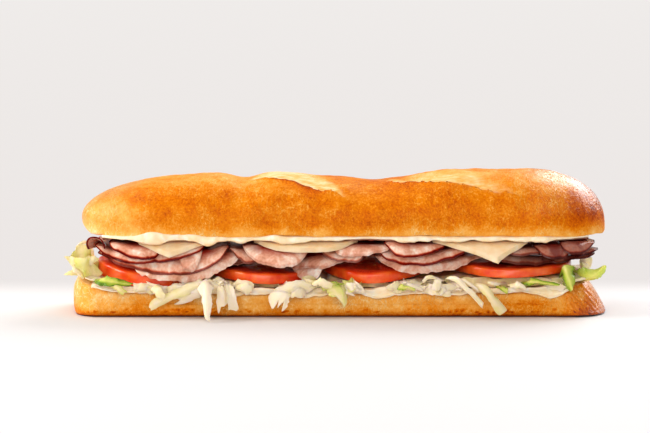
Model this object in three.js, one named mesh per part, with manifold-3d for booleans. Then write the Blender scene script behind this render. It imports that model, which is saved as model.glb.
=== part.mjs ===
// A footlong ham and swiss sandwich: a scored roll cut right through and filled, from the bottom up,
// with mayonnaise, shredded lettuce, four tomato slices, folded ham, swiss cheese and more mayonnaise.
// Millimetres, +Z up, +X along the roll, the open front faces -Y, and the table is at z = 0.
import * as THREE from "three";
import { mergeVertices } from "three/addons/utils/BufferGeometryUtils.js";
import Module from "manifold-3d";

const wasm = await Module();
wasm.setup();

// Driving sizes of the roll
const ROLL_WIDTH = 76;
const SANDWICH_HEIGHT = 82;
const HEEL_HEIGHT = 15.5; // the lower half of the roll, at its cut face
const LID_CUT_HEIGHT = 46.3; // the cut face of the upper half of the roll
const GAP = 0.35; // air left between neighbours
const SLICE_GAP = 0.5; // and between draped slices, whose facets differ

// Driving sizes of the filling
const HAM_THICKNESS = 1.15;
const CHEESE_THICKNESS = 1.8;
const TOMATO_THICKNESS = 5.8;
const PILE_START = 28; // the lowest level at which ham can lie
const PILE_LIMIT = 44.8; // under the upper mayonnaise

const { PI, abs, cos, exp, hypot, max, min, pow, sign, sin, sqrt } = Math;
const mix = (a, b, t) => a + (b - a) * t;
const bump = (x, middle, halfWidth) => exp(-(((x - middle) / halfWidth) ** 2));
const degrees = (angle) => (angle * PI) / 180;
const signedPower = (value, power) => sign(value) * pow(abs(value), power);
const smooth = (edge0, edge1, x) => {
  const t = min(1, max(0, (x - edge0) / (edge1 - edge0)));
  return t * t * (3 - 2 * t);
};

// The same random numbers on every run
function seededRandom(seed) {
  let state = seed;
  return () => {
    state = (state * 1664525 + 1013904223) % 4294967296;
    return state / 4294967296;
  };
}

// Closed geometry from points and faces, with its faces turned outwards
function closedGeometry(points, faces) {
  let volume = 0;
  const [p, q, r] = [0, 1, 2].map(() => new THREE.Vector3());
  for (const [a, b, c] of faces) {
    p.fromArray(points[a]);
    q.fromArray(points[b]);
    r.fromArray(points[c]);
    volume += p.dot(q.cross(r));
  }
  const order = volume < 0 ? ([a, b, c]) => [a, c, b] : (face) => face;
  const geometry = new THREE.BufferGeometry();
  geometry.setAttribute("position", new THREE.Float32BufferAttribute(points.flat(), 3));
  geometry.setIndex(faces.map(order).flat());
  return geometry;
}

// A sheet with an upper and a lower face over one grid: upper(i, j) and lower(i, j) give its points
function sheet(cellsU, cellsV, upper, lower) {
  const points = [];
  for (const face of [upper, lower])
    for (let i = 0; i <= cellsU; i++) for (let j = 0; j <= cellsV; j++) points.push(face(i, j));
  const below = (cellsU + 1) * (cellsV + 1);
  const at = (i, j) => i * (cellsV + 1) + j;
  const faces = [];
  for (let i = 0; i < cellsU; i++)
    for (let j = 0; j < cellsV; j++) {
      const [a, b, c, d] = [at(i, j), at(i + 1, j), at(i + 1, j + 1), at(i, j + 1)];
      faces.push([a, b, c], [a, c, d]);
      faces.push([below + a, below + c, below + b], [below + a, below + d, below + c]);
    }
  const wall = (a, b) => faces.push([below + a, below + b, b], [below + a, b, a]);
  for (let i = 0; i < cellsU; i++) {
    wall(at(i, 0), at(i + 1, 0));
    wall(at(i + 1, cellsV), at(i, cellsV));
  }
  for (let j = 0; j < cellsV; j++) {
    wall(at(0, j + 1), at(0, j));
    wall(at(cellsU, j), at(cellsU, j + 1));
  }
  return closedGeometry(points, faces);
}

// A skin over a row of rings, closed by one point at each end
function loaf(firstPoint, rings, lastPoint) {
  const around = rings[0].length;
  const points = [firstPoint, ...rings.flat(), lastPoint];
  const at = (ring, k) => 1 + ring * around + (k % around);
  const faces = [];
  for (let k = 0; k < around; k++) {
    faces.push([0, at(0, k), at(0, k + 1)]);
    faces.push([points.length - 1, at(rings.length - 1, k + 1), at(rings.length - 1, k)]);
    for (let ring = 0; ring < rings.length - 1; ring++) {
      faces.push([at(ring, k), at(ring + 1, k), at(ring + 1, k + 1)]);
      faces.push([at(ring, k), at(ring + 1, k + 1), at(ring, k + 1)]);
    }
  }
  return closedGeometry(points, faces);
}

// Solids for cutting and joining
const WELD_DISTANCE = 1e-3;

function solidOf(geometry) {
  const bare = new THREE.BufferGeometry();
  bare.setAttribute("position", geometry.getAttribute("position").clone());
  bare.setIndex(geometry.index);
  const merged = mergeVertices(bare, WELD_DISTANCE);
  const triVerts = [];
  for (let i = 0; i < merged.index.count; i += 3) {
    const face = [0, 1, 2].map((k) => merged.index.getX(i + k));
    if (new Set(face).size === 3) triVerts.push(...face);
  }
  return new wasm.Manifold(
    new wasm.Mesh({
      numProp: 3,
      vertProperties: merged.attributes.position.array,
      triVerts: new Uint32Array(triVerts),
    }),
  );
}

const largestBody = (solid) =>
  solid.decompose().reduce((best, body) => (body.volume() > best.volume() ? body : best));

function geometryOf(solid) {
  const { vertProperties, triVerts, numProp } = solid.getMesh();
  const geometry = new THREE.BufferGeometry();
  const count = vertProperties.length / numProp;
  const position = new Float32Array(count * 3);
  for (let i = 0; i < count; i++)
    position.set(vertProperties.subarray(i * numProp, i * numProp + 3), i * 3);
  geometry.setAttribute("position", new THREE.BufferAttribute(position, 3));
  geometry.setIndex(new THREE.BufferAttribute(triVerts, 1));
  return geometry;
}

const finish = (color, roughness) => new THREE.MeshStandardMaterial({ color, roughness, metalness: 0 });
const CRUST = finish("#d98a2b", 0.45);
const MAYONNAISE = finish("#f4ead2", 0.3);
const LETTUCE = finish("#d9dc9a", 0.4);
const TOMATO = finish("#dd3a1c", 0.25);
const HAM = finish("#c98a80", 0.4);
const CHEESE = finish("#efd9a6", 0.45);

const sandwich = new THREE.Group();

function place(name, geometry, material) {
  const mesh = new THREE.Mesh(geometry, material);
  mesh.name = name;
  sandwich.add(mesh);
  return mesh;
}

// The roll: how far each end has rounded off, from 0 at its tip to 1 where the roll is full
const rounding = (inset, length, power) =>
  inset >= length ? 1 : pow(1 - pow(1 - inset / length, power), 1 / power);

// Stations along a roll from -1 to 1; the more they crowd, the closer together they stand at its ends
function stations(count, crowding) {
  return Array.from({ length: count }, (_, i) => {
    const s = (2 * (i + 1)) / (count + 1) - 1;
    return sign(s) * (1 - pow(1 - abs(s), crowding));
  });
}

// The lid: the upper half of the roll, an arched loaf with two diagonal scores that opened in the oven
const LID_ENDS = [-150.2, 153.8];
const LID_HALF_WIDTH = ROLL_WIDTH / 2;
const LID_RINGS = 36;
const LID_CROWDING = 1.35;
const LID_ARCH_STEPS = 16;
const LID_FACE_ANGLES = [12, 45, 90, 135, 168].map((angle) => PI + degrees(angle));
// Over which length the crown comes up and how squarely, at the left end and at the right end
const LID_RISES = [
  [75, 2],
  [48, 2.4],
];
const LID_SPREAD_LENGTH = 42; // over which it reaches its full width
const LID_NOSES = [8.7, 2.2]; // height of the nose above the cut face, at the left end and at the right end
const ARCH_POWER = 2.4; // a circle has 2, and a box has a very high one
const LID_FACE_POWER = 14;

// Each score: where it runs, how it bends, and how far it opened
const SCORES = [
  { from: [-54, -9], to: [6, -32], bend: 0.6, width: 17 },
  { from: [24, -3], to: [105, -33], bend: 0.34, width: 15 },
];
const SCORE_DEPTH = 2.6;
const SCORE_LIP = 0.9;

// Dips of the crown: where, how deep and how wide
const CROWN_DIPS = [
  { at: -100, depth: 0.5, halfWidth: 16 },
  { at: -55, depth: 2.6, halfWidth: 9 },
  { at: -36, depth: -0.7, halfWidth: 12 },
  { at: 18, depth: 2.1, halfWidth: 14 },
];
// How much lower the crown lies in each stretch than in the one before it, and where it changes
const CROWN_STEPS = [
  { drop: 1.5, from: -30, to: -12 },
  { drop: -3.9, from: 34, to: 66 },
];
const LEFT_CROWN_DROP = 2.4;

function crownHeight(x) {
  let crown = SANDWICH_HEIGHT - LEFT_CROWN_DROP;
  for (const { at, depth, halfWidth } of CROWN_DIPS) crown -= depth * bump(x, at, halfWidth);
  for (const { drop, from, to } of CROWN_STEPS) crown -= drop * smooth(from, to, x);
  return crown;
}

const noseHeight = (x) => mix(...LID_NOSES, smooth(60, 150, x));

function scoreRelief(x, y) {
  let relief = 0;
  for (const { from, to, bend, width } of SCORES) {
    const along = (x - from[0]) / (to[0] - from[0]);
    if (along <= 0 || along >= 1) continue;
    const lip = mix(from[1], to[1], pow(along, bend));
    const opening = width * pow(sin(PI * along), 0.6) + 0.1;
    const across = (y - lip) / opening;
    const strength = pow(sin(PI * along), 0.4);
    if (across >= 0 && across < 1) relief -= SCORE_DEPTH * strength * pow(1 - across, 1.4);
    if (across < 0) relief += SCORE_LIP * strength * exp(across * 3);
  }
  return relief;
}

const crustRelief = (x, y, angle) =>
  0.35 * sin(x * 0.21 + 2 * cos(angle * 2)) * sin(angle * 3 + x * 0.05) +
  0.25 * sin(x * 0.47 + y * 0.3);

function lid() {
  const [left, right] = LID_ENDS;
  const middle = (left + right) / 2;
  const half = (right - left) / 2;
  const arch = Array.from({ length: LID_ARCH_STEPS + 1 }, (_, i) => (PI * i) / LID_ARCH_STEPS);
  const angles = [...arch, ...LID_FACE_ANGLES];
  const ring = (x) => {
    const inset = half - abs(x - middle);
    const rise = rounding(inset, ...LID_RISES[x < 0 ? 0 : 1]);
    const spread = rounding(inset, LID_SPREAD_LENGTH, 2.1);
    const nose = noseHeight(x);
    const axis = LID_CUT_HEIGHT + nose;
    return angles.map((angle) => {
      const upper = angle <= PI;
      const power = 2 / (upper ? ARCH_POWER : LID_FACE_POWER);
      const y = LID_HALF_WIDTH * spread * signedPower(cos(angle), power);
      if (!upper) return [x, y, axis - nose * min(1, rise * 2.5) * pow(abs(sin(angle)), power)];
      const height = (crownHeight(x) - axis) * rise;
      const lift = pow(sin(angle), power);
      const relief = (scoreRelief(x, y) + crustRelief(x, y, angle)) * lift * rise;
      return [x, y, axis + height * lift + relief];
    });
  };
  const rings = stations(LID_RINGS, LID_CROWDING).map((s) => ring(middle + half * s));
  return loaf(
    [left, 0, LID_CUT_HEIGHT + noseHeight(left)],
    rings,
    [right, 0, LID_CUT_HEIGHT + noseHeight(right)],
  );
}

// The heel: the lower half of the roll, flat underneath, its blunt right end cut back at a slant
const HEEL_END = 155; // on both sides of the middle
const HEEL_HALF_WIDTH = 37;
const HEEL_RINGS = 27;
const HEEL_CROWDING = 1.8;
const HEEL_SLANT = 8;
const HEEL_ANGLES = [0, 20, 45, 70, 90, 110, 135, 160, 180, 200, 225, 250, 270, 290, 315, 340];
const HEEL_AXES = [8, 2.4]; // the height where its ends stick out furthest, on the left and on the right
const HEEL_END_RISES = [5.5, 7]; // of the cut face towards the left end and towards the right end
const HEEL_CORNERS = [16, 24]; // as seen from above, at the left end and at the right end
const HEEL_TOP_ROUNDING = 5.5;
const HEEL_BASE_ROUNDING = 3.5;
const HEEL_TOP_POWER = 9;
const HEEL_BASE_POWER = 4.5;
const HEEL_TAPER = 0.97; // how much narrower it is at the top

const heelTop = (x) => HEEL_HEIGHT - 0.5 + HEEL_END_RISES[x < 0 ? 0 : 1] * pow(min(1, abs(x) / 150), 8);
const heelHalfWidth = (x) =>
  HEEL_HALF_WIDTH * rounding(HEEL_END - abs(x), HEEL_CORNERS[x < 0 ? 0 : 1], 2.5);

function heel() {
  const ring = (x) => {
    const inset = HEEL_END - abs(x);
    const axis = mix(...HEEL_AXES, smooth(110, 150, x));
    const rise = rounding(inset, HEEL_TOP_ROUNDING, 2.6);
    const sink = rounding(inset, HEEL_BASE_ROUNDING, 2);
    const lean = HEEL_SLANT * smooth(90, 152, x);
    return HEEL_ANGLES.map((angle) => {
      const upper = angle <= 180;
      const reach = upper ? (heelTop(x - lean) - axis) * rise : axis * 1.15 * sink;
      const power = 2 / (upper ? HEEL_TOP_POWER : HEEL_BASE_POWER);
      const z = max(0, axis + reach * signedPower(sin(degrees(angle)), power));
      const taper = upper ? mix(1, HEEL_TAPER, z / HEEL_HEIGHT) : 1;
      const y = heelHalfWidth(x) * signedPower(cos(degrees(angle)), power) * taper;
      return [x - lean * (z / HEEL_HEIGHT), y, z];
    });
  };
  const rings = stations(HEEL_RINGS, HEEL_CROWDING).map((s) => ring(HEEL_END * s));
  return loaf([-HEEL_END, 0, HEEL_AXES[0]], rings, [HEEL_END, 0, HEEL_AXES[1]]);
}

// Tomato: four round slices, each tipped its own way on the lettuce, their front edges sagging
const TOMATOES = [
  { name: "tomato_1", middle: [-109, -8, 28.6], radius: 32.5, forward: 4, roll: 1, sag: 4 },
  { name: "tomato_2", middle: [-44.5, -8.5, 24.8], radius: 30.5, forward: 2, roll: 3, sag: 0.5 },
  { name: "tomato_3", middle: [20.5, -8, 28], radius: 30, forward: 5, roll: -1, sag: 2.4 },
  { name: "tomato_4", middle: [100, -7, 28.4], radius: 34, forward: 2.5, roll: -1, sag: 0.8 },
];
const TOMATO_SEGMENTS = 19;
const SKIN_ROUNDING = 1.2;
const SAG_START = 12; // mm in front of the middle of the slice

const tomatoTilt = ({ forward, roll }) => new THREE.Euler(degrees(forward), degrees(roll), 0);
const tomatoSag = ({ sag, radius }, y) => sag * (max(0, -y - SAG_START) / (radius - SAG_START)) ** 2;

function tomatoGeometry(slice, extra) {
  const outer = slice.radius + extra;
  const half = TOMATO_THICKNESS / 2 + extra;
  const edge = [
    [outer * 0.6, half],
    [outer - SKIN_ROUNDING, half],
    [outer, half - SKIN_ROUNDING],
  ];
  const below = edge.map(([r, z]) => [r, -z]);
  const profile = [[0, -half], ...below, ...edge.reverse(), [0, half]].map((p) => new THREE.Vector2(...p));
  const geometry = new THREE.LatheGeometry(profile, TOMATO_SEGMENTS).rotateX(PI / 2);
  const position = geometry.getAttribute("position");
  for (let i = 0; i < position.count; i++)
    position.setZ(i, position.getZ(i) - tomatoSag(slice, position.getY(i)));
  const turn = new THREE.Matrix4().makeRotationFromEuler(tomatoTilt(slice));
  return geometry.applyMatrix4(turn.setPosition(...slice.middle));
}

// The top of a tomato slice over the point x, y, or nothing where it does not reach
function tomatoTop(slice, x, y) {
  const [dx, dy] = [x - slice.middle[0], y - slice.middle[1]];
  if (hypot(dx, dy) > slice.radius + 1) return 0;
  const tilt = dy * sin(degrees(slice.forward)) - dx * sin(degrees(slice.roll));
  return slice.middle[2] + TOMATO_THICKNESS / 2 + tilt - tomatoSag(slice, dy);
}

// The drooping pile: every slice of ham and cheese lies flat in the middle and bends down over the front
// and back. A surface of level L stands at height(L, x, y). Higher levels reach further out, so the slices
// nest like umbrellas and two whose levels differ never touch.
const FLAT_HALF_WIDTH = 24;
const DROOP_WIDTH = 12;
const DROOP_DEPTH = 12;
const DROOP_POWER = 1.8;
const NEST_LEVEL = 31;
const NEST_GROWTH = 0.59; // mm further out for each mm of level

const PILE_END = 155;
const OUTLINE_ROUNDING = [34, 2.3]; // how far from its ends the pile narrows, and the power of that curve
const NARROWEST = 4; // mm from its end, beyond which it narrows no more
const outline = (x) => rounding(max(NARROWEST, PILE_END - abs(x)), ...OUTLINE_ROUNDING);
const flatReach = (level) => FLAT_HALF_WIDTH + NEST_GROWTH * (level - NEST_LEVEL);
const height = (level, x, y) =>
  level - DROOP_DEPTH * pow(max(0, abs(y) / outline(x) - flatReach(level)) / DROOP_WIDTH, DROOP_POWER);
const reachAtHeight = (level, x, z) =>
  outline(x) * (flatReach(level) + DROOP_WIDTH * pow(max(0, level - z) / DROOP_DEPTH, 1 / DROOP_POWER));

// How high the pile has grown, kept at nodes along the roll: at first it stands on the tomatoes
const CELL = 5; // mm from node to node
const NODES = 34; // on each side of the middle
const STEEPEST_LEVEL = 0.35; // a slice rises and falls no faster than this along the roll
const pile = new Map();
for (let node = -NODES; node <= NODES; node++) {
  let level = PILE_START;
  for (const slice of TOMATOES)
    for (let x = (node - 1) * CELL; x <= (node + 1) * CELL; x += 1)
      for (let y = -FLAT_HALF_WIDTH; y <= FLAT_HALF_WIDTH; y += 2)
        level = max(level, tomatoTop(slice, x, y) + GAP);
  pile.set(node, level);
}

// Lays a slice on the pile from x = from to x = to, and returns its level at each x.
// lift: the least levels of its left end, its middle and its right end
function settle(from, to, lift, thickness) {
  const first = Math.floor(from / CELL);
  const last = Math.ceil(to / CELL);
  const levels = new Map();
  for (let node = first; node <= last; node++) {
    const s = min(1, max(0, (node * CELL - from) / (to - from)));
    levels.set(node, max(pile.get(node) + SLICE_GAP, smile(lift, 0.5, s)));
  }
  const ease = (node, neighbour) =>
    levels.set(node, max(levels.get(node), levels.get(neighbour) - STEEPEST_LEVEL * CELL));
  for (let node = first + 1; node <= last; node++) ease(node, node - 1);
  for (let node = last - 1; node >= first; node--) ease(node, node + 1);
  for (const [node, level] of levels) pile.set(node, level + thickness);
  return (x) => {
    const low = min(last - 1, max(first, Math.floor(x / CELL)));
    return mix(levels.get(low), levels.get(low + 1), x / CELL - low);
  };
}

// The columns of a slice: its two ends and the nodes between them
function columns(from, to) {
  const inside = [];
  for (let x = CELL * Math.ceil(from / CELL); x < to; x += CELL)
    if (x - from > CELL / 4 && to - x > CELL / 4) inside.push(x);
  return [from, ...inside, to];
}

// A height that runs from left down to low at the belly and up to right, as s goes from 0 to 1
function smile([left, low, right], belly, s) {
  if (s < belly) return mix(low, left, ((belly - s) / belly) ** 2);
  return mix(low, right, ((s - belly) / (1 - belly)) ** 2);
}

// Ham: each slice hangs over the front like a smile, lowest at its belly.
// rim: the height of its hanging edge at the left end, at the belly and at the right end
// short: it ends in the middle instead of hanging over the back as well
const HAM_SLICES = [
  { ends: [-80, -46], rim: [31, 29.5, 33], belly: 0.6, lift: [29, 28, 34] },
  { ends: [-122, -56], rim: [29, 21, 34.5], belly: 0.49, lift: [34.4, 34.4, 36.8] },
  { ends: [-64.9, -46], rim: [38.5, 31, 29], belly: 0.8, lift: [39, 37.5, 31], short: true },
  { ends: [-136, -64.6], rim: [35, 25.5, 37.5], belly: 0.68, lift: [36, 28, 39.4] },
  { ends: [-95, -79], rim: [30, 27.2, 31], belly: 0.52, lift: [29, 28, 29], short: true },
  { ends: [-137, -78], rim: [39, 31.3, 38.3], belly: 0.39, lift: [41, 28, 40] },
  { ends: [-133, -101], rim: [41, 33.5, 36], belly: 0.7, lift: [42.6, 40.7, 40.4], short: true },
  { ends: [-29, -7.7], rim: [26, 21.4, 26], belly: 0.48, lift: [29, 28, 29], short: true },
  { ends: [-31, 8], rim: [28, 27.4, 34], belly: 0.25, lift: [30, 30, 36] },
  { ends: [-56.5, -18], rim: [38, 30, 34], belly: 0.65, lift: [40.8, 40, 38] },
  { ends: [-12, 15], rim: [35, 32, 33], belly: 0.6, lift: [38, 37, 38], short: true },
  { ends: [20.5, 83], rim: [32, 25.8, 35.5], belly: 0.47, lift: [34, 28, 35] },
  { ends: [22.7, 75], rim: [33.5, 30.4, 39.6], belly: 0.43, lift: [38, 36, 40.7] },
  { ends: [-5, 31], rim: [38, 35.4, 40.5], belly: 0.46, lift: [40.7, 40.7, 41.2] },
  { ends: [25, 61], rim: [40, 35.2, 39.8], belly: 0.3, lift: [42.8, 41.4, 40.4], short: true },
  { ends: [80, 147], rim: [33.2, 31, 34.5], belly: 0.5, lift: [35, 28, 35.4] },
  { ends: [128, 149], rim: [36.5, 34.6, 36.5], belly: 0.5, lift: [37.4, 36.8, 37.4], short: true },
  { ends: [94, 118], rim: [37.5, 36.2, 37.5], belly: 0.35, lift: [39, 39, 39.5] },
  { ends: [111, 134], rim: [38.5, 34, 35.5], belly: 0.7, lift: [41, 40.6, 40.2], short: true },
  { ends: [126, 147], rim: [37.5, 36.8, 40], belly: 0.35, lift: [42.4, 42.2, 41.6], short: true },
];
const LEAST_DROP = 0.8;
const RUFFLE = 0.45;
const FRONT_ROWS = [1, 0.66, 0.3, 0]; // from the hanging edge to where the slice lies flat
const BACK_ROWS = [0, 0.45, 1];
const SHORT_SLICE_BACK = -10;

function hamSlice({ ends: [from, to], rim, belly, lift, short }, index) {
  const levelAt = settle(from, to, lift, HAM_THICKNESS);
  const xs = columns(from, to);
  const drapes = xs.map((x) => {
    const level = levelAt(x);
    const flat = outline(x) * flatReach(level);
    const edge = (s) => {
      const rimHeight = smile(rim, belly, s) + RUFFLE * sin(x * 0.55 + index * 2);
      return reachAtHeight(level, x, min(level - LEAST_DROP, rimHeight));
    };
    const s = (x - from) / (to - from);
    const front = FRONT_ROWS.map((part) => -mix(flat, edge(s), part));
    const back = BACK_ROWS.map((part) => mix(flat, edge(1 - s), part));
    return { x, level, ys: [...front, ...(short ? [SHORT_SLICE_BACK] : back)] };
  });
  const face = (lifted) => (i, j) => {
    const { x, level, ys } = drapes[i];
    return [x, ys[j], height(level + lifted * HAM_THICKNESS, x, ys[j])];
  };
  return sheet(xs.length - 1, drapes[0].ys.length - 1, face(1), face(0));
}

// A curl of ham at the left end: a strip bent round on itself like a U that is open to the right
const CURL = { middle: [-142.6, 41], radius: [4.4, 3.6], front: -30, back: -12, angles: [75, 285] };
const CURL_CELLS = [8, 2];
const CURL_TIGHTENING = [1.6, 0.8]; // towards its back it winds up tighter
const CURL_SHIFT = 1.4; // and moves to the right

function hamCurl() {
  const { middle, radius, front, back, angles } = CURL;
  const face = (grow) => (i, j) => {
    const angle = degrees(mix(...angles, i / CURL_CELLS[0]));
    const v = j / CURL_CELLS[1];
    const [wide, high] = radius.map((r, n) => r - CURL_TIGHTENING[n] * v + grow);
    const x = middle[0] + CURL_SHIFT * v + wide * cos(angle);
    return [x, mix(front, back, v), middle[1] + high * sin(angle)];
  };
  return sheet(...CURL_CELLS, face(HAM_THICKNESS / 2), face(-HAM_THICKNESS / 2));
}

// Swiss cheese: two half slices with a corner hanging over the front, and a whole one sagging between them.
// Each line across a slice gives its left end, its right end and its distance from the middle line of the
// roll, measured along the drape.
const CHEESE_SLICES = [
  [[-98.5, -98, -42.5], [-116, -77, -33], [-121, -69, -13]],
  [[-24, -14, -39.5], [-42, 3, -35.5], [-50, 10, -28.5], [-45, 10, 29], [-44, 10, 37]],
  [[89.7, 90.2, -45.8], [53, 107.5, -31.5], [53, 109.5, -13]],
];
const CHEESE_LEVEL = 42.3;
const CHEESE_CELLS = 6;
const CHEESE_ROWS_BETWEEN_LINES = 2;
const DRAPE_STEP = 0.25;

// How far out a point lies that is the given distance from the middle line along the drape
function reachAlongDrape(level, x, distance) {
  let [y, walked] = [0, 0];
  while (walked < abs(distance)) {
    const fall = height(level, x, y) - height(level, x, y + DRAPE_STEP);
    walked += hypot(DRAPE_STEP, fall);
    y += DRAPE_STEP;
  }
  return sign(distance) * (y - (walked - abs(distance)));
}

function cheeseSlice(lines) {
  const lefts = lines.map(([left]) => left);
  const rights = lines.map(([, right]) => right);
  const lift = [CHEESE_LEVEL, CHEESE_LEVEL, CHEESE_LEVEL];
  const levelAt = settle(min(...lefts), max(...rights), lift, CHEESE_THICKNESS);
  const rowCount = (lines.length - 1) * CHEESE_ROWS_BETWEEN_LINES;
  const face = (lifted) => (i, j) => {
    const k = min(lines.length - 2, Math.floor(j / CHEESE_ROWS_BETWEEN_LINES));
    const part = j / CHEESE_ROWS_BETWEEN_LINES - k;
    const [left, right, distance] = [0, 1, 2].map((n) => mix(lines[k][n], lines[k + 1][n], part));
    const x = mix(left, right, i / CHEESE_CELLS);
    const y = reachAlongDrape(levelAt(x), x, distance);
    return [x, y, height(levelAt(x) + lifted * CHEESE_THICKNESS, x, y)];
  };
  return sheet(CHEESE_CELLS, rowCount, face(1), face(0));
}

// Mayonnaise on the heel: spread over the cut face, squeezed out in front and running down in drips
const LOWER_SPREAD_ENDS = [-143, 133];
const LOWER_SPREAD_CELLS = 23;
const LOWER_DRIPS = [
  [-62, 1.2, 14],
  [-20, 2, 16],
  [22, 3.4, 8],
  [63, 0.9, 11],
  [121, 4.2, 8],
];
const LOWER_ROWS = [-1.1, -1, -0.9, 0, 0.9, 1, 1.1]; // beyond 1 the spread hangs down the side
const SPREAD_THICKNESS = 1.2;
const BULGE = 1.1; // how far it is squeezed out beyond the heel, at least, and at most once more by its drips
const DRIP_BULGE = 0.3; // of the depth of a drip
const SHOULDER = [0.75, 0.8]; // of the bulge, out and up, above the edge of the heel
const EDGE_HANG = 0.4;
// The back repeats the drips of the front, stretched and moved along
const BACK_STRETCH = 0.8;
const LOWER_SHIFT = 20;
const UPPER_SHIFT = -15;

const alongDrips = (x, row, shift) => (row < 0 ? x : BACK_STRETCH * x + shift);
const dripDepth = (x, drips) =>
  drips.reduce((sum, [at, depth, width]) => sum + depth * bump(x, at, width), 0);

function lowerSpread() {
  const [from, to] = LOWER_SPREAD_ENDS;
  const face = (outer) => (i, j) => {
    const x = mix(from, to, i / LOWER_SPREAD_CELLS);
    const row = LOWER_ROWS[j];
    const drip = SPREAD_THICKNESS + dripDepth(alongDrips(x, row, LOWER_SHIFT), LOWER_DRIPS);
    const bulge = outer ? BULGE + min(BULGE, drip * DRIP_BULGE) : 0;
    const side = sign(row) * (heelHalfWidth(x) + GAP);
    const top = heelTop(x) + GAP;
    if (abs(row) > 1) return [x, side + sign(row) * bulge, top - EDGE_HANG - drip];
    if (abs(row) === 1) return [x, side + sign(row) * bulge * SHOULDER[0], top + bulge * SHOULDER[1]];
    return [x, row * abs(side), top + (outer ? SPREAD_THICKNESS : 0)];
  };
  return sheet(LOWER_SPREAD_CELLS, LOWER_ROWS.length - 1, face(true), face(false));
}

// Mayonnaise under the lid: a flat spread whose front and back edges bulge and sag in blobs
const UPPER_SPREAD_ENDS = [-137, 143];
const UPPER_SPREAD_CELLS = 26;
const UPPER_HALF_WIDTH = 38.8;
const UPPER_SPREAD_LIMIT = 151.8; // where its rounded outline would come to a point
const UPPER_DRIPS = [
  [-108, 3.6, 10],
  [-77, 3.4, 5],
  [-62, 1.8, 12],
  [-30, 2.6, 7],
  [-12, 1.2, 9],
  [38, 1.2, 10],
  [62, 1.6, 9],
  [82, 1.2, 7],
  [112, 1.4, 14],
];
const UPPER_ROUNDING = [40, 2.1]; // how far from its ends it narrows, and the power of that curve
const UPPER_SAG = 1.1; // the least its edge hangs down
const TUCKED_IN = [1.6, 0.8]; // how far its edge stays back, less this share of the drips
const LEAST_SPREAD = 0.4;
const STARVED = [15, 13]; // where the spread is thin: the middle and the half width of that place
const STARVED_SHARE = 0.6;
// Each row: how far out it lies, and how far down its two faces hang as parts of the sag
const UPPER_ROWS = [
  [-1, 0.35, 0.85],
  [-0.95, 0, 1],
  [-0.86, 0, 0.6],
  [0, 0, 0.3],
  [0.86, 0, 0.6],
  [0.95, 0, 1],
  [1, 0.35, 0.85],
];

function upperSpread() {
  const [from, to] = UPPER_SPREAD_ENDS;
  const face = (upper) => (i, j) => {
    const x = mix(from, to, i / UPPER_SPREAD_CELLS);
    const [row, topPart, bottomPart] = UPPER_ROWS[j];
    const drip = dripDepth(alongDrips(x, row, UPPER_SHIFT), UPPER_DRIPS);
    const tuckedIn = max(0, TUCKED_IN[0] - TUCKED_IN[1] * drip);
    const y = row * (UPPER_HALF_WIDTH * rounding(UPPER_SPREAD_LIMIT - abs(x), ...UPPER_ROUNDING) - tuckedIn);
    const ceiling = LID_CUT_HEIGHT - GAP;
    const sag = (UPPER_SAG + drip) * (1 - STARVED_SHARE * bump(x, ...STARVED));
    if (upper) return [x, y, ceiling - topPart * sag];
    const clear = max(
      ...[-1, 0, 1, 2].map((k) => height(pile.get(Math.floor(x / CELL) + k) + SLICE_GAP, x, y)),
    );
    return [x, y, min(ceiling - topPart * sag - LEAST_SPREAD, max(ceiling - bottomPart * sag, clear))];
  };
  return sheet(UPPER_SPREAD_CELLS, UPPER_ROWS.length - 1, face(true), face(false));
}

// Shredded lettuce: a low core under the tomatoes, and the shreds and leaf edges that show
const CORE_ENDS = [-147, 143];
const CORE_CELLS = [18, 5];
const CORE_TOP = [23.5, 21, 22, 24]; // under each tomato slice, eased between them and pressed down by them
const CORE_REACH = 0.93; // of the half width of the heel
const CORE_EDGE_WAVES = [
  [1.2, 0.43],
  [0.8, 0.9],
];
const CORE_EASING = 30;
const CORE_FLOOR = 2.1; // above the cut face of the heel, where the mayonnaise lies
const LEAST_CORE = 0.7;
const CORE_WAVE = 0.8;
const CORE_EDGE_DROP = 1.4;
// How far along and across the roll a facet of the core can reach under a tomato
const FACET_REACH = [7, 6];

// The underside of the tomatoes near x, y, or a height out of the way
function tomatoUnderside(x, y) {
  let lowest = SANDWICH_HEIGHT;
  for (const slice of TOMATOES)
    for (const dx of [-FACET_REACH[0], 0, FACET_REACH[0]])
      for (const dy of [-FACET_REACH[1], 0, FACET_REACH[1]]) {
        const top = tomatoTop(slice, x + dx, y + dy);
        if (top) lowest = min(lowest, top - TOMATO_THICKNESS - 2 * GAP);
      }
  return lowest;
}

function lettuceCore() {
  const [from, to] = CORE_ENDS;
  const reach = (x, side) =>
    CORE_EDGE_WAVES.reduce(
      (sum, [size, rate], k) => sum + size * sin(x * rate + side * (k + 1)),
      heelHalfWidth(x) * CORE_REACH,
    );
  const top = (x) => {
    const near = TOMATOES.map(({ middle }) => bump(x, middle[0], CORE_EASING));
    const total = near.reduce((sum, part) => sum + part, 0);
    return CORE_TOP.reduce((sum, z, k) => sum + (z * near[k]) / total, 0);
  };
  const face = (upper) => (i, j) => {
    const x = mix(from, to, i / CORE_CELLS[0]);
    const across = (2 * j) / CORE_CELLS[1] - 1;
    const y = across * reach(x, sign(across));
    const low = heelTop(x) + CORE_FLOOR;
    if (!upper) return [x, y, low];
    const dropped = CORE_EDGE_DROP * smooth(0.6, 1, abs(across));
    const wavy = top(x) + CORE_WAVE * sin(x * 0.37 + y * 0.2) - dropped;
    return [x, y, max(low + LEAST_CORE, min(wavy, tomatoUnderside(x, y)))];
  };
  return sheet(...CORE_CELLS, face(true), face(false));
}

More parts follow.
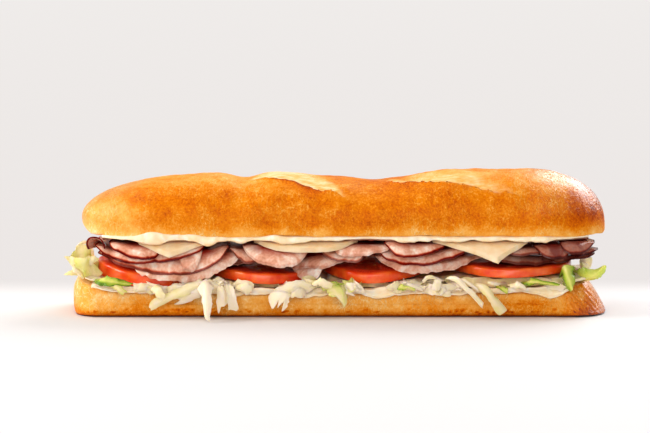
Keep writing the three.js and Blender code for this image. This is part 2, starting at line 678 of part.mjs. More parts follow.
const SHRED_THICKNESS = 0.9;
const TURNING = [0.15, 0.6]; // the part of its length over which a hanging shred turns
const LONGEST_CELL = 11;
const WIDEST_CELL = 7;

// A shred from one point to another through a bend. At its root it lies flat, then it turns its width across
// the line of sight from the front; upright shreds do so from the start. It is cupped and tapers to its end.
function shred({ from, bend, to, width, cup = 0.3, taper = 0.7, wave = 0, upright = false }) {
  const curve = new THREE.QuadraticBezierCurve3(...[from, bend, to].map((p) => new THREE.Vector3(...p)));
  const length = curve.getLength();
  const cells = [max(3, Math.round(length / LONGEST_CELL)), width > WIDEST_CELL ? 2 : 1];
  const chord = new THREE.Vector3(...to).sub(new THREE.Vector3(...bend)).setY(0).normalize();
  const seen = new THREE.Vector3(-chord.z, 0, chord.x);
  const root = new THREE.Vector3(seen.x < 0 ? -1 : 1, 0, 0);
  const face = (side) => (i, j) => {
    const u = i / cells[0];
    const s = (2 * j) / cells[1] - 1;
    const tangent = curve.getTangent(u);
    const across = root.clone().lerp(seen, upright ? 1 : smooth(...TURNING, u));
    across.addScaledVector(tangent, -across.dot(tangent)).normalize();
    const normal = new THREE.Vector3().crossVectors(across, tangent).normalize();
    const half = (width / 2) * mix(1, taper, u * u);
    const ripple = wave * sin(u * length * 0.5 + s * 1.5);
    const point = curve.getPoint(u);
    point.addScaledVector(across, s * half);
    const offset = cup * half * s * s + ripple + (side * SHRED_THICKNESS) / 2;
    return point.addScaledVector(normal, offset).toArray();
  };
  return sheet(...cells, face(1), face(-1));
}

// The shreds and leaf edges that stand up at the two ends, each from where it leaves the core, through a
// bend, to its tip
const END_SHREDS = [
  { from: [-144, -16, 21.5], bend: [-147, -22, 30], to: [-153, -24, 38.5], width: 9, wave: 0.8 },
  { from: [-142, -20, 22.5], bend: [-154, -24, 28], to: [-155.5, -26, 32], width: 8, wave: 0.8 },
  { from: [-140, -22, 23], bend: [-152, -28, 27], to: [-158.5, -28, 23.5], width: 5, taper: 0.3 },
  { from: [-146, -6, 21.5], bend: [-148.5, -10, 32], to: [-148, -10, 37], width: 7, wave: 0.6 },
  { from: [-144.5, 0, 21.5], bend: [-143, 0, 46], to: [-153, -2, 37.5], width: 3, taper: 0.5 },
  { from: [-142, -24, 22.8], bend: [-149, -30, 25.5], to: [-153.5, -30, 28.5], width: 6, wave: 0.9 },
  { from: [-140, -28, 22.3], bend: [-146, -33, 28.5], to: [-148, -33, 34], width: 7.5, wave: 1 },
  { from: [-142, -21, 22.6], bend: [-147, -29, 27], to: [-143, -31, 34.5], width: 8, wave: 1 },
  { from: [134, -16, 21.5], bend: [142, -36, 18], to: [151, -34, 30], width: 11, taper: 0.25, cup: 0.7 },
  { from: [139, -4, 22], bend: [146, -12, 24], to: [142.5, -18, 32], width: 9, wave: 0.5 },
  { from: [139, -12, 22], bend: [147, -20, 26], to: [140, -22, 29.5], width: 6, wave: 0.5 },
];

// The shreds that hang over the front, from the left to the right
const FRONT_SHREDS = [
  { from: [-137, -31, 22.4], bend: [-142, -48, 24], to: [-119, -43.5, 20], width: 8, taper: 0.2, wave: 0.5 },
  { from: [-133, -32, 20.6], bend: [-131, -47.5, 22], to: [-123.5, -43.5, 15], width: 4.5, taper: 0.7 },
  { from: [-106, -32, 19.3], bend: [-108, -49, 20.6], to: [-102, -45.5, 11.5], width: 5, taper: 1.2 },
  { from: [-75, -33, 18.6], bend: [-72, -50, 27], to: [-107.5, -44.5, 8], width: 6.5, taper: 0.8, wave: 0.3 },
  { from: [-67, -33, 20.9], bend: [-70, -49, 21.5], to: [-95, -43.5, 11], width: 8.5, taper: 1, wave: 0.4 },
  { from: [-86, -33, 18.9], bend: [-88, -46, 20.5], to: [-99, -42.5, 15], width: 6, taper: 1, wave: 0.6 },
  { from: [-78, -33, 19.8], bend: [-77, -55, 29], to: [-76, -60, 1.4], width: 8.5, taper: 0.6, cup: 0.6 },
  { from: [-70, -33, 19.3], bend: [-67.5, -49, 22], to: [-69.5, -46.5, 5], width: 5, taper: 1.2, cup: 0.5 },
  { from: [-66, -33, 19.3], bend: [-64.5, -49, 22], to: [-65, -46, 6], width: 4, taper: 1.1, cup: -0.4 },
  { from: [-57, -33, 18.8], bend: [-60, -47, 21], to: [-52, -43, 15.5], width: 6, taper: 1 },
  { from: [-28, -33, 19], bend: [-32, -48, 21], to: [-36.5, -45.5, 8.2], width: 6, taper: 2.2, cup: 0.15 },
  { from: [-24, -33, 19.3], bend: [-26, -48, 21.5], to: [-23, -44, 12.5], width: 7.5, taper: 1.3 },
  { from: [-14, -33, 19.6], bend: [-17, -49, 22], to: [-36, -43.5, 14.5], width: 7, taper: 1, wave: 0.5 },
  { from: [-14, -33, 19.2], bend: [-17, -49, 25], to: [-6, -45, 18.5], width: 5, taper: 1 },
  { from: [-8, -33, 18.8], bend: [-8, -48, 24], to: [0, -45, 11], width: 8, taper: 1, wave: 0.4 },
  { from: [1, -33, 18.4], bend: [0, -47, 21.5], to: [3, -43.5, 9.5], width: 5.2, taper: 0.8 },
  { from: [8, -33, 18.2], bend: [4, -46, 19.5], to: [12, -42.5, 16.8], width: 3.4, taper: 0.4 },
  { from: [31, -33, 18.5], bend: [32, -46.5, 19.5], to: [43, -43, 16.4], width: 4, taper: 0.5 },
  { from: [57, -33, 19], bend: [56.5, -47, 28], to: [54.5, -43.5, 16.5], width: 4.8, taper: 1 },
  { from: [61, -33, 19.4], bend: [52, -49, 28], to: [47, -43, 21.5], width: 2.8 },
  { from: [61.5, -33, 19.4], bend: [60, -52, 33], to: [81.5, -45, 8], width: 3, taper: 0.9 },
  { from: [67, -33, 19.4], bend: [66, -50, 27], to: [79, -44, 16], width: 2.6 },
  { from: [77, -33, 18.8], bend: [78, -52, 25], to: [93.5, -46, 4.2], width: 4.4, taper: 1.4, cup: 0.4 },
  { from: [98, -33, 19.4], bend: [98, -46, 20.5], to: [106, -43, 18], width: 4 },
  { from: [106, -33, 20.4], bend: [106, -45.5, 22.5], to: [124, -43.5, 19.6], width: 4.6, taper: 0.4 },
  { from: [131, -24, 24], bend: [124.5, -45, 39], to: [132.5, -43.5, 17.5], width: 9, taper: 0.55, cup: 0.9 },
];
const BACK_SHREDS = { count: 5, ends: [-124, 118], shift: 6, lean: 20, widths: [3.5, 7], tips: [4, 14] };

// The back gets shreds of the same kinds, spread evenly by a seeded draw
function backShreds() {
  const random = seededRandom(7);
  const { count, ends, shift, lean, widths, tips } = BACK_SHREDS;
  return Array.from({ length: count }, (_, i) => {
    const x = mix(...ends, i / (count - 1)) + mix(-shift, shift, random());
    const aside = mix(-lean, lean, random());
    return {
      from: [x, 33, 18.6],
      bend: [x + aside / 5, 48, mix(20, 22, random())],
      to: [x + aside, 44, mix(...tips, random())],
      width: mix(...widths, random()),
      taper: 0.5,
    };
  });
}

const cutBy = (solid, cutters) => largestBody(cutters.reduce((rest, cutter) => rest.subtract(cutter), solid));

place("bread_lid", lid(), CRUST);
place("bread_heel", heel(), CRUST);
TOMATOES.forEach((slice) => place(slice.name, tomatoGeometry(slice, 0), TOMATO));
const tomatoCutters = TOMATOES.map((slice) => solidOf(tomatoGeometry(slice, GAP)));
HAM_SLICES.forEach((slice, index) => {
  const solid = solidOf(hamSlice(slice, index));
  place(`ham_${String(index + 1).padStart(2, "0")}`, geometryOf(cutBy(solid, tomatoCutters)), HAM);
});
place("ham_curl", hamCurl(), HAM);
CHEESE_SLICES.forEach((lines, index) => place(`cheese_${index + 1}`, cheeseSlice(lines), CHEESE));
place("mayonnaise_upper", upperSpread(), MAYONNAISE);
place("mayonnaise_lower", lowerSpread(), MAYONNAISE);
const upright = END_SHREDS.map((item) => shred({ ...item, upright: true }));
const hanging = [...FRONT_SHREDS, ...backShreds()].map(shred);
const shreds = [...upright, ...hanging].map(solidOf);
const lettuce = shreds.reduce((heap, piece) => heap.add(piece), solidOf(lettuceCore()));
place("lettuce", geometryOf(largestBody(lettuce)), LETTUCE);

if (max(...pile.values()) > PILE_LIMIT) console.log("the pile is too high for the lid");

export default sandwich;
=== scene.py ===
# %% [markdown]
# # A footlong ham and swiss sandwich
# A real one is a scored sandwich roll cut right through and filled, from the bottom up, with mayonnaise,
# shredded lettuce, four slices of tomato, folded ham, swiss cheese and more mayonnaise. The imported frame
# already holds each of these as a plain solid. This lesson gives every one of them a finer body and its own
# finish.

# %% Load the frame
import math
import random
from itertools import product
from typing import NamedTuple

import bpy
import numpy as np
from mathutils import Euler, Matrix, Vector


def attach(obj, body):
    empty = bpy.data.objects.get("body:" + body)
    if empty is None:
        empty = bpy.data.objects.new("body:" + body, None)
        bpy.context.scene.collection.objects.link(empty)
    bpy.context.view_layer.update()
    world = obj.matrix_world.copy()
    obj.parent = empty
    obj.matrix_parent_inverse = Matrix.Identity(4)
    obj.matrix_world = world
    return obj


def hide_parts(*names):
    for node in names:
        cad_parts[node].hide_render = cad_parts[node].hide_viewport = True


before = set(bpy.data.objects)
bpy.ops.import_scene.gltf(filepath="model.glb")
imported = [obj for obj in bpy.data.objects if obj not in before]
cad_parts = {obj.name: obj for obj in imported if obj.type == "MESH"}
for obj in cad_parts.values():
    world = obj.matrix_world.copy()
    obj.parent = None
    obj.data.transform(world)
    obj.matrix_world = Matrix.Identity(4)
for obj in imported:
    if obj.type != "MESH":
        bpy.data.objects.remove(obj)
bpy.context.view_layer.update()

MM = 0.001  # the shapes below are worked out in millimetres, and Blender counts in metres

# %% [markdown]
# ## Soft shapes from a few formulas
# Bread, cream and folded meat have no straight lines. They could be sculpted by hand, but then nobody could
# change the size of a slice later. Here each shape is a formula with named sizes, and a few helpers bend,
# round and roughen.

# %% Helpers for soft shapes
def mix(a, b, t):
    return a + (b - a) * t


def bump(x, middle, half_width):
    """1 in the middle, and falling off to 0 on both sides."""
    return np.exp(-(((x - middle) / half_width) ** 2))


def smooth(start, full, x):
    """0 at the start, easing to 1 at the full place, which may lie on either side of the start."""
    t = np.clip((x - start) / (full - start), 0, 1)
    return t * t * (3 - 2 * t)


def bumps(x, rows):
    """Each row gives a height, the place of its middle and its half width, in mm."""
    return sum(height * bump(x, middle, half_width) for height, middle, half_width in rows)


def washes(x, z, rows):
    """Each row gives an amount, then where it starts and where it is full, along x and along z, in mm."""
    return sum(amount * smooth(*in_x, x) * smooth(*in_z, z) for amount, in_x, in_z in rows)


EVERYWHERE = (-999, -998)  # mm: a wash that is full so far out covers the whole piece


def spots(x, z, rows):
    """Each row gives an amount, then its middle and its half width, along x and along z, in mm."""
    return sum(amount * bump(x, *in_x) * bump(z, *in_z) for amount, in_x, in_z in rows)


def rounding(inset, length, power):
    """How far an end has rounded off: 0 at its tip, 1 where the body is full."""
    return (1 - np.clip(1 - inset / length, 0, 1) ** power) ** (1 / power)


def superround(angle, power):
    """Cosine and sine of a circle that swells towards a box as its power grows."""
    c, s = np.cos(angle), np.sin(angle)
    reach = (np.abs(c) ** power + np.abs(s) ** power) ** (-1 / power)
    return reach * c, reach * s


CELL_FACTORS = np.array((374761393, 668265263, 1274126177))  # large odd numbers that scramble a cell's place
SEED_FACTOR, SCRAMBLE = 69069, 1103515245
HALF_RANGE = 0xFFFF / 2


def lumps(points, size, seed=0):
    """Soft random heights from -1 to 1 at points of shape (n, 3), in lumps of about that size in mm."""
    scaled = np.asarray(points, float) / size
    cell = np.floor(scaled).astype(np.int64)
    part = smooth(0, 1, scaled - cell)
    total = np.zeros(len(scaled))
    for corner in product((0, 1), repeat=3):
        mixed = (cell + corner) @ CELL_FACTORS + seed * SEED_FACTOR
        mixed = (mixed ^ (mixed >> 13)) * SCRAMBLE
        height = ((mixed ^ (mixed >> 16)) & 0xFFFF) / HALF_RANGE - 1
        total += height * np.prod(np.where(np.array(corner) == 1, part, 1 - part), axis=1)
    return total


def layered(points, rows):
    """Lumps of several sizes together; a row gives their height, their size and the seed of their pattern."""
    return sum(height * lumps(points, size, seed) for height, size, seed in rows)


def stack(*columns):
    """Columns of numbers as points of shape (n, 3); a single number fills its column."""
    return np.stack(np.broadcast_arrays(*columns), axis=-1).astype(float)

# %% [markdown]
# ## Two starting bodies
# Nearly everything here is either a ball pulled long, such as bread, or a slab bent into place, such as a
# slice of ham. A ball starts as a UV sphere whose poles become the two ends. A slab starts as a grid that
# is extruded once, so that it is closed from the start. A place function then says where each point of the
# body goes.

# %% Balls and slabs
MERGED = 0.01  # mm, points closer than this become one
SHARP_EDGE = math.radians(50)


def read_points(piece):
    values = np.empty(len(piece.data.vertices) * 3, np.float32)
    piece.data.vertices.foreach_get("co", values)
    return values.reshape(-1, 3).astype(float)


def mark(piece, name, values):
    """Keeps a number or a vector for each point, which a material can read by its name."""
    count = len(piece.data.vertices)
    if np.ndim(values) == 2:
        attribute = piece.data.attributes.new(name, "FLOAT_VECTOR", "POINT")
        attribute.data.foreach_set("vector", values.astype(np.float32).ravel())
    else:
        attribute = piece.data.attributes.new(name, "FLOAT", "POINT")
        attribute.data.foreach_set("value", np.broadcast_to(values, count).astype(np.float32))


def place_points(piece, points, marks):
    """Moves the points of a piece, given in mm, and keeps its marks."""
    piece.data.vertices.foreach_set("co", (points * MM).astype(np.float32).ravel())
    piece.data.update()
    for key, values in marks.items():
        mark(piece, key, values)


def close_up(piece):
    """Merges what came together, turns the faces outwards and smooths all but the sharp edges."""
    bpy.ops.object.mode_set(mode="EDIT")
    bpy.ops.mesh.select_all(action="SELECT")
    bpy.ops.mesh.remove_doubles(threshold=MERGED * MM)
    bpy.ops.mesh.normals_make_consistent(inside=False)
    bpy.ops.object.mode_set(mode="OBJECT")
    bpy.ops.object.shade_smooth_by_angle(angle=SHARP_EDGE)
    return piece


def start(name):
    piece = bpy.context.object
    piece.name = piece.data.name = name
    return piece


def ball(name, rings, around, place):
    """place(along, turn) gives points in mm and marks; along runs from -1 to 1 and turn from 0 to 1."""
    bpy.ops.object.select_all(action="DESELECT")
    bpy.ops.mesh.primitive_uv_sphere_add(segments=around, ring_count=rings, radius=1)
    piece = start(name)
    x, y, z = read_points(piece).T
    along, turn = np.arcsin(np.clip(z, -1, 1)) / (math.pi / 2), np.arctan2(y, x) / (2 * math.pi) % 1
    place_points(piece, *place(along, turn))
    return close_up(piece)


def slab(name, cells, place):
    """place(u, v, side) gives points in mm and marks; u and v run from 0 to 1, side is 0 below, 1 above."""
    bpy.ops.object.select_all(action="DESELECT")
    bpy.ops.mesh.primitive_grid_add(x_subdivisions=cells[0], y_subdivisions=cells[1], size=1)
    piece = start(name)
    bpy.ops.object.mode_set(mode="EDIT")
    bpy.ops.mesh.select_all(action="SELECT")
    bpy.ops.mesh.extrude_region_move(TRANSFORM_OT_translate={"value": (0, 0, 1)})
    bpy.ops.object.mode_set(mode="OBJECT")
    x, y, z = read_points(piece).T
    place_points(piece, *place(x + 0.5, y + 0.5, np.round(z)))
    return close_up(piece)


def serve(piece, material, slot, *nodes):
    """The piece gets its finish and stands in for its plain solids."""
    piece.data.materials.clear()
    piece.data.materials.append(material)
    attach(piece, "root")
    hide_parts(*nodes)
    print(f"{piece.name}: {len(piece.data.polygons)} faces")

# %% [markdown]
# ## Materials
# Colours are written as a picture editor shows them and turned linear by one function. One more function
# adds a node with its settings and its links, so that each recipe below reads like a list of ingredients.

# %% Helpers for materials
# A Mix node has its own sockets for numbers and for colours, told apart by their place
NUMBER_A, NUMBER_B, COLOUR_A, COLOUR_B, COLOUR_OUT = 2, 3, 6, 7, 2


def colour(code):
    """A colour code as linear light, by the curve of the sRGB standard."""
    channels = [int(code[i : i + 2], 16) / 255 for i in (1, 3, 5)]
    return (*[c / 12.92 if c <= 0.04045 else ((c + 0.055) / 1.055) ** 2.4 for c in channels], 1)


def add(tree, kind, sockets=None, stops=None, **settings):
    """Adds a node. A socket's value is a number, a colour code or another node's output, which is linked."""
    node = tree.nodes.new("ShaderNode" + kind)
    for key, value in settings.items():
        setattr(node, key, value)
    for key, value in (sockets or {}).items():
        if isinstance(value, bpy.types.NodeSocket):
            tree.links.new(value, node.inputs[key])
        else:
            node.inputs[key].default_value = colour(value) if isinstance(value, str) else value
    if stops:
        ramp = node.color_ramp
        while len(ramp.elements) < len(stops):
            ramp.elements.new(1)
        for element, (position, code) in zip(ramp.elements, stops):
            element.position = position
            element.color = colour(code)
    return node


def new_material(name, **sockets):
    """A material with one Principled shader, whose plain values are given by socket name."""
    material = bpy.data.materials.new(name)
    material.use_nodes = True
    tree = material.node_tree
    tree.nodes.clear()
    shader = add(tree, "BsdfPrincipled", {key.replace("_", " "): value for key, value in sockets.items()})
    add(tree, "OutputMaterial", {"Surface": shader.outputs[0]})
    place_in_mm = add(tree, "VectorMath", {0: add(tree, "TexCoord").outputs["Object"], 1: (1 / MM,) * 3},
                      operation="MULTIPLY").outputs[0]
    return material, tree, shader, place_in_mm


def wire(tree, source, shader, socket):
    tree.links.new(source, shader.inputs[socket])

# %% [markdown]
# ### Baked crust
# The crust of a sandwich roll is dough browned by dry heat and brushed with egg wash. The eye sees a golden
# brown that darkens in cloudy patches, a net of fine pale wrinkles where the skin stretched, and a soft
# gloss. Where the scores opened and where the roll is cut, the pale crumb shows, dull and full of small
# pores.

# %% Crust
CLOUD_SIZE, DIMPLE_SIZE, FLECK_SIZE, PORE_SIZE = 7, 3, 1.4, 1.6  # mm
WRINKLE_SIZE, WRINKLE_BENDS, WRINKLED_PATCHES = 3.4, 4, 18  # mm
WRINKLE_WANDER = 5  # mm
WRINKLE_STRETCH = (1.5, 0.7, 0.7)
PORE_STRETCH, PORE_TURN = (0.25, 1, 1), math.radians(20)
CLOUDINESS, FLECKING, LINE_PALENESS = 0.1, 0.15, 0.18  # on the scale from pale to burnt
RIDGE_SHARE = -4.0
RELIEF_DEPTH, DIMPLE_DEPTH = 0.35, 0.9  # mm


def baked_crust():
    material, tree, shader, place_in_mm = new_material(
        "baked_roll_crust", IOR=1.45, Specular_IOR_Level=0.07, Coat_Weight=0.25, Coat_Roughness=0.17
    )
    # the browning mark also carries painted highlights, painted light and painted shade, added where the lid
    # and the heel are made
    browning_and_painted_light, crumb, glazed = [add(tree, "Attribute", attribute_name=name).outputs["Fac"]
                            for name in ("browning_and_painted_light", "crumb", "glazed")]
    clouds, flecks, dimples = [
        add(tree, "TexNoise", {"Vector": place_in_mm, "Scale": 1 / size, "Detail": detail,
                               "Roughness": fineness}).outputs[0]
        for size, detail, fineness in ((CLOUD_SIZE, 4, 0.6), (FLECK_SIZE, 3, 0.75), (DIMPLE_SIZE, 3, 0.6))
    ]
    cloudy, flecked = [
        add(tree, "MapRange", {"Value": noise, "From Min": 0.3, "From Max": 0.7, "To Min": -strength,
                               "To Max": strength}).outputs[0]
        for noise, strength in ((clouds, CLOUDINESS), (flecks, FLECKING))
    ]
    grainy = add(tree, "MapRange", {"Value": browning_and_painted_light, "From Min": 0.25, "From Max": 0.5,
                                    "To Min": 0.4}).outputs[0]
    flecked = add(tree, "Math", {0: flecked, 1: grainy}, operation="MULTIPLY").outputs[0]

    stretched = add(tree, "Mapping", {"Vector": place_in_mm, "Scale": WRINKLE_STRETCH}).outputs[0]
    wander = add(tree, "TexNoise", {"Vector": stretched, "Scale": 1 / WRINKLE_BENDS, "Detail": 3})
    bent = add(tree, "VectorMath", {0: wander.outputs["Color"], 1: (WRINKLE_WANDER,) * 3, 2: stretched},
               operation="MULTIPLY_ADD").outputs[0]
    wrinkles = add(tree, "TexVoronoi", {"Vector": bent, "Scale": 1 / WRINKLE_SIZE},
                   feature="DISTANCE_TO_EDGE")
    line = add(tree, "MapRange", {"Value": wrinkles.outputs["Distance"], "From Min": 0, "From Max": 0.06,
                                  "To Min": -LINE_PALENESS, "To Max": 0}).outputs[0]
    patches = add(tree, "TexNoise", {"Vector": place_in_mm, "Scale": 1 / WRINKLED_PATCHES,
                                     "Detail": 1}).outputs[0]
    wrinkled = add(tree, "MapRange", {"Value": patches, "From Min": 0.4, "From Max": 0.55,
                                      "To Min": 0.25}).outputs[0]
    pale_line = add(tree, "Math", {0: line, 1: wrinkled}, operation="MULTIPLY").outputs[0]

    browning = browning_and_painted_light
    for part in (cloudy, flecked, pale_line):
        browning = add(tree, "Math", {0: browning, 1: part}, operation="ADD").outputs[0]
    crust_colour = add(tree, "ValToRGB", {"Fac": browning}, stops=[
        (0.0, "#ffe2ac"), (0.2, "#f6b55a"), (0.42, "#e88a04"), (0.6, "#d56c00"), (0.78, "#ae4600"),
        (0.9, "#7a2a00"), (1.0, "#3c1200"),
    ]).outputs[0]
    pulled = add(tree, "Mapping", {"Vector": place_in_mm, "Rotation": (0, 0, PORE_TURN),
                                   "Scale": PORE_STRETCH}).outputs[0]
    pores = add(tree, "TexNoise", {"Vector": pulled, "Scale": 1 / PORE_SIZE, "Detail": 4,
                                   "Roughness": 0.6}).outputs[0]
    crumb_colour = add(tree, "ValToRGB", {"Fac": pores}, stops=[
        (0.34, "#e8a850"), (0.48, "#f5c886"), (0.62, "#fcdfb4"),
    ]).outputs[0]
    both = add(tree, "Mix", {"Factor": crumb, COLOUR_A: crust_colour, COLOUR_B: crumb_colour},
               data_type="RGBA")
    wire(tree, both.outputs[COLOUR_OUT], shader, "Base Color")

    roughness = add(tree, "MapRange", {"Value": crumb, "To Min": 0.42, "To Max": 0.85}).outputs[0]
    wire(tree, roughness, shader, "Roughness")
    coat = add(tree, "MapRange", {"Value": glazed, "To Min": 0.07, "To Max": 1.0}).outputs[0]
    coat = add(tree, "Mix", {0: crumb, NUMBER_A: coat, NUMBER_B: 0.0}).outputs[0]
    wire(tree, coat, shader, "Coat Weight")
    ridges = add(tree, "Math", {0: pale_line, 1: RIDGE_SHARE}, operation="MULTIPLY").outputs[0]
    relief = add(tree, "Math", {0: ridges, 1: flecks}, operation="ADD").outputs[0]
    relief = add(tree, "Mix", {0: crumb, NUMBER_A: relief, NUMBER_B: pores}).outputs[0]
    bumped = add(tree, "Bump", {"Height": relief, "Strength": 0.7, "Distance": RELIEF_DEPTH * MM}).outputs[0]
    wire(tree, bumped, shader, "Normal")
    dimpled = add(tree, "Bump", {"Height": dimples, "Strength": 0.8, "Distance": DIMPLE_DEPTH * MM,
                                 "Normal": bumped}).outputs[0]
    wire(tree, dimpled, shader, "Coat Normal")
    return material


CRUST = baked_crust()

# %% [markdown]
# ### Mayonnaise
# Mayonnaise is oil beaten into egg: a cream that is thick enough to stand in soft folds, glossy, faintly
# yellow, and with light going a little way in. A little subsurface scattering gives it that depth. Where it
# is pressed on the ham, behind its bead, it is painted dark red and loses its shine: painted shade, marked on
# its underside.

# %% Mayonnaise
SWIRL_SIZE, RIPPLE_SIZE, RIPPLE_DEPTH = 7, 2.2, 0.35  # mm


def beaten_mayonnaise():
    material, tree, shader, place_in_mm = new_material(
        "beaten_mayonnaise", Roughness=0.24, IOR=1.46, Subsurface_Weight=0.35, Subsurface_Scale=2.5 * MM,
        Subsurface_Radius=(1.0, 0.75, 0.45)
    )
    swirls = add(tree, "TexNoise", {"Vector": place_in_mm, "Scale": 1 / SWIRL_SIZE, "Detail": 3,
                                    "Distortion": 0.8}).outputs[0]
    tint = add(tree, "ValToRGB", {"Fac": swirls}, stops=[(0.3, "#ffdcae"), (0.7, "#fff3de")]).outputs[0]
    # painted shade: dark red, with no shine, on the underside pressed into the ham between the slices
    painted_shade_under = add(tree, "Attribute", attribute_name="painted_shade_under").outputs["Fac"]
    tint = add(tree, "Mix", {"Factor": painted_shade_under, COLOUR_A: tint, COLOUR_B: "#a3301c"}, data_type="RGBA")
    wire(tree, tint.outputs[COLOUR_OUT], shader, "Base Color")
    sheen = add(tree, "MapRange", {"Value": painted_shade_under, "To Min": 0.5, "To Max": 0.0}).outputs[0]
    wire(tree, sheen, shader, "Specular IOR Level")
    ripples = add(tree, "TexNoise", {"Vector": place_in_mm, "Scale": 1 / RIPPLE_SIZE, "Detail": 2}).outputs[0]
    rippled = add(tree, "Bump", {"Height": ripples, "Strength": 0.4, "Distance": RIPPLE_DEPTH * MM})
    wire(tree, rippled.outputs[0], shader, "Normal")
    return material


MAYONNAISE = beaten_mayonnaise()

# %% [markdown]
# ### Tomato
# A slice of ripe tomato has a thin shiny skin around its rim, firm orange-red flesh behind it, and wet
# darker pockets full of pale seeds. The mark called skin tells the rim from the two cut faces, and gel
# marks the pockets.

# %% Tomato
BLUSH_SIZE, FLESH_GRAIN, FLESH_DEPTH = 6, 0.8, 0.12  # mm


def ripe_tomato():
    material, tree, shader, place_in_mm = new_material(
        "ripe_tomato", Roughness=0.3, IOR=1.4, Subsurface_Weight=0.25, Subsurface_Scale=3 * MM,
        Subsurface_Radius=(1.0, 0.25, 0.1), Coat_Weight=0.7, Coat_Roughness=0.2
    )
    skin, gel, seed = [add(tree, "Attribute", attribute_name=name).outputs["Fac"]
                       for name in ("skin", "gel", "seed")]
    blush = add(tree, "TexNoise", {"Vector": place_in_mm, "Scale": 1 / BLUSH_SIZE, "Detail": 4}).outputs[0]
    grain = add(tree, "TexNoise", {"Vector": place_in_mm, "Scale": 1 / FLESH_GRAIN, "Detail": 2}).outputs[0]
    skin_colour = add(tree, "ValToRGB", {"Fac": blush}, stops=[(0.3, "#ea3a0c"), (0.7, "#f8762a")]).outputs[0]
    shown = add(tree, "ValToRGB", {"Fac": grain}, stops=[(0.3, "#c02008"), (0.7, "#e8502a")]).outputs[0]
    wet_gel = add(tree, "ValToRGB", {"Fac": grain}, stops=[(0.35, "#a01604"), (0.65, "#d0480f")]).outputs[0]
    for where, over in ((gel, wet_gel), (seed, "#e9c27a"), (skin, skin_colour)):
        shown = add(tree, "Mix", {"Factor": where, COLOUR_A: shown, COLOUR_B: over},
                    data_type="RGBA").outputs[COLOUR_OUT]
    wire(tree, shown, shader, "Base Color")
    grained = add(tree, "Bump", {"Height": grain, "Strength": 0.25, "Distance": FLESH_DEPTH * MM}).outputs[0]
    wire(tree, grained, shader, "Normal")
    return material


TOMATO = ripe_tomato()

# %% [markdown]
# ### Ham
# Cooked, smoked ham is pale pink muscle with faint paler seams, moist enough to glisten, and its outside is
# smoked almost to black. A slice therefore has a thin dark rind and a redder band just inside it. The mark
# called rim holds how many millimetres away the edge is, and rind says whether that edge was the outside of
# the ham. Further from the edge, where a slice runs in under the others, it is painted dark red and loses
# its shine: painted shade.

# %% Ham
MUSCLE_SIZE, MEAT_GRAIN, MEAT_DEPTH = 9, 1.6, 0.4  # mm
# painted shade: from here inwards the meat is painted dark red, where it runs in between the slices
PAINTED_SHADE_START, PAINTED_SHADE_END = 4, 12  # mm from the edge, between which the slice sinks into the dark of the roll
RIND_WIDTH, RIND_WOBBLE = 3.2, 1.2  # mm


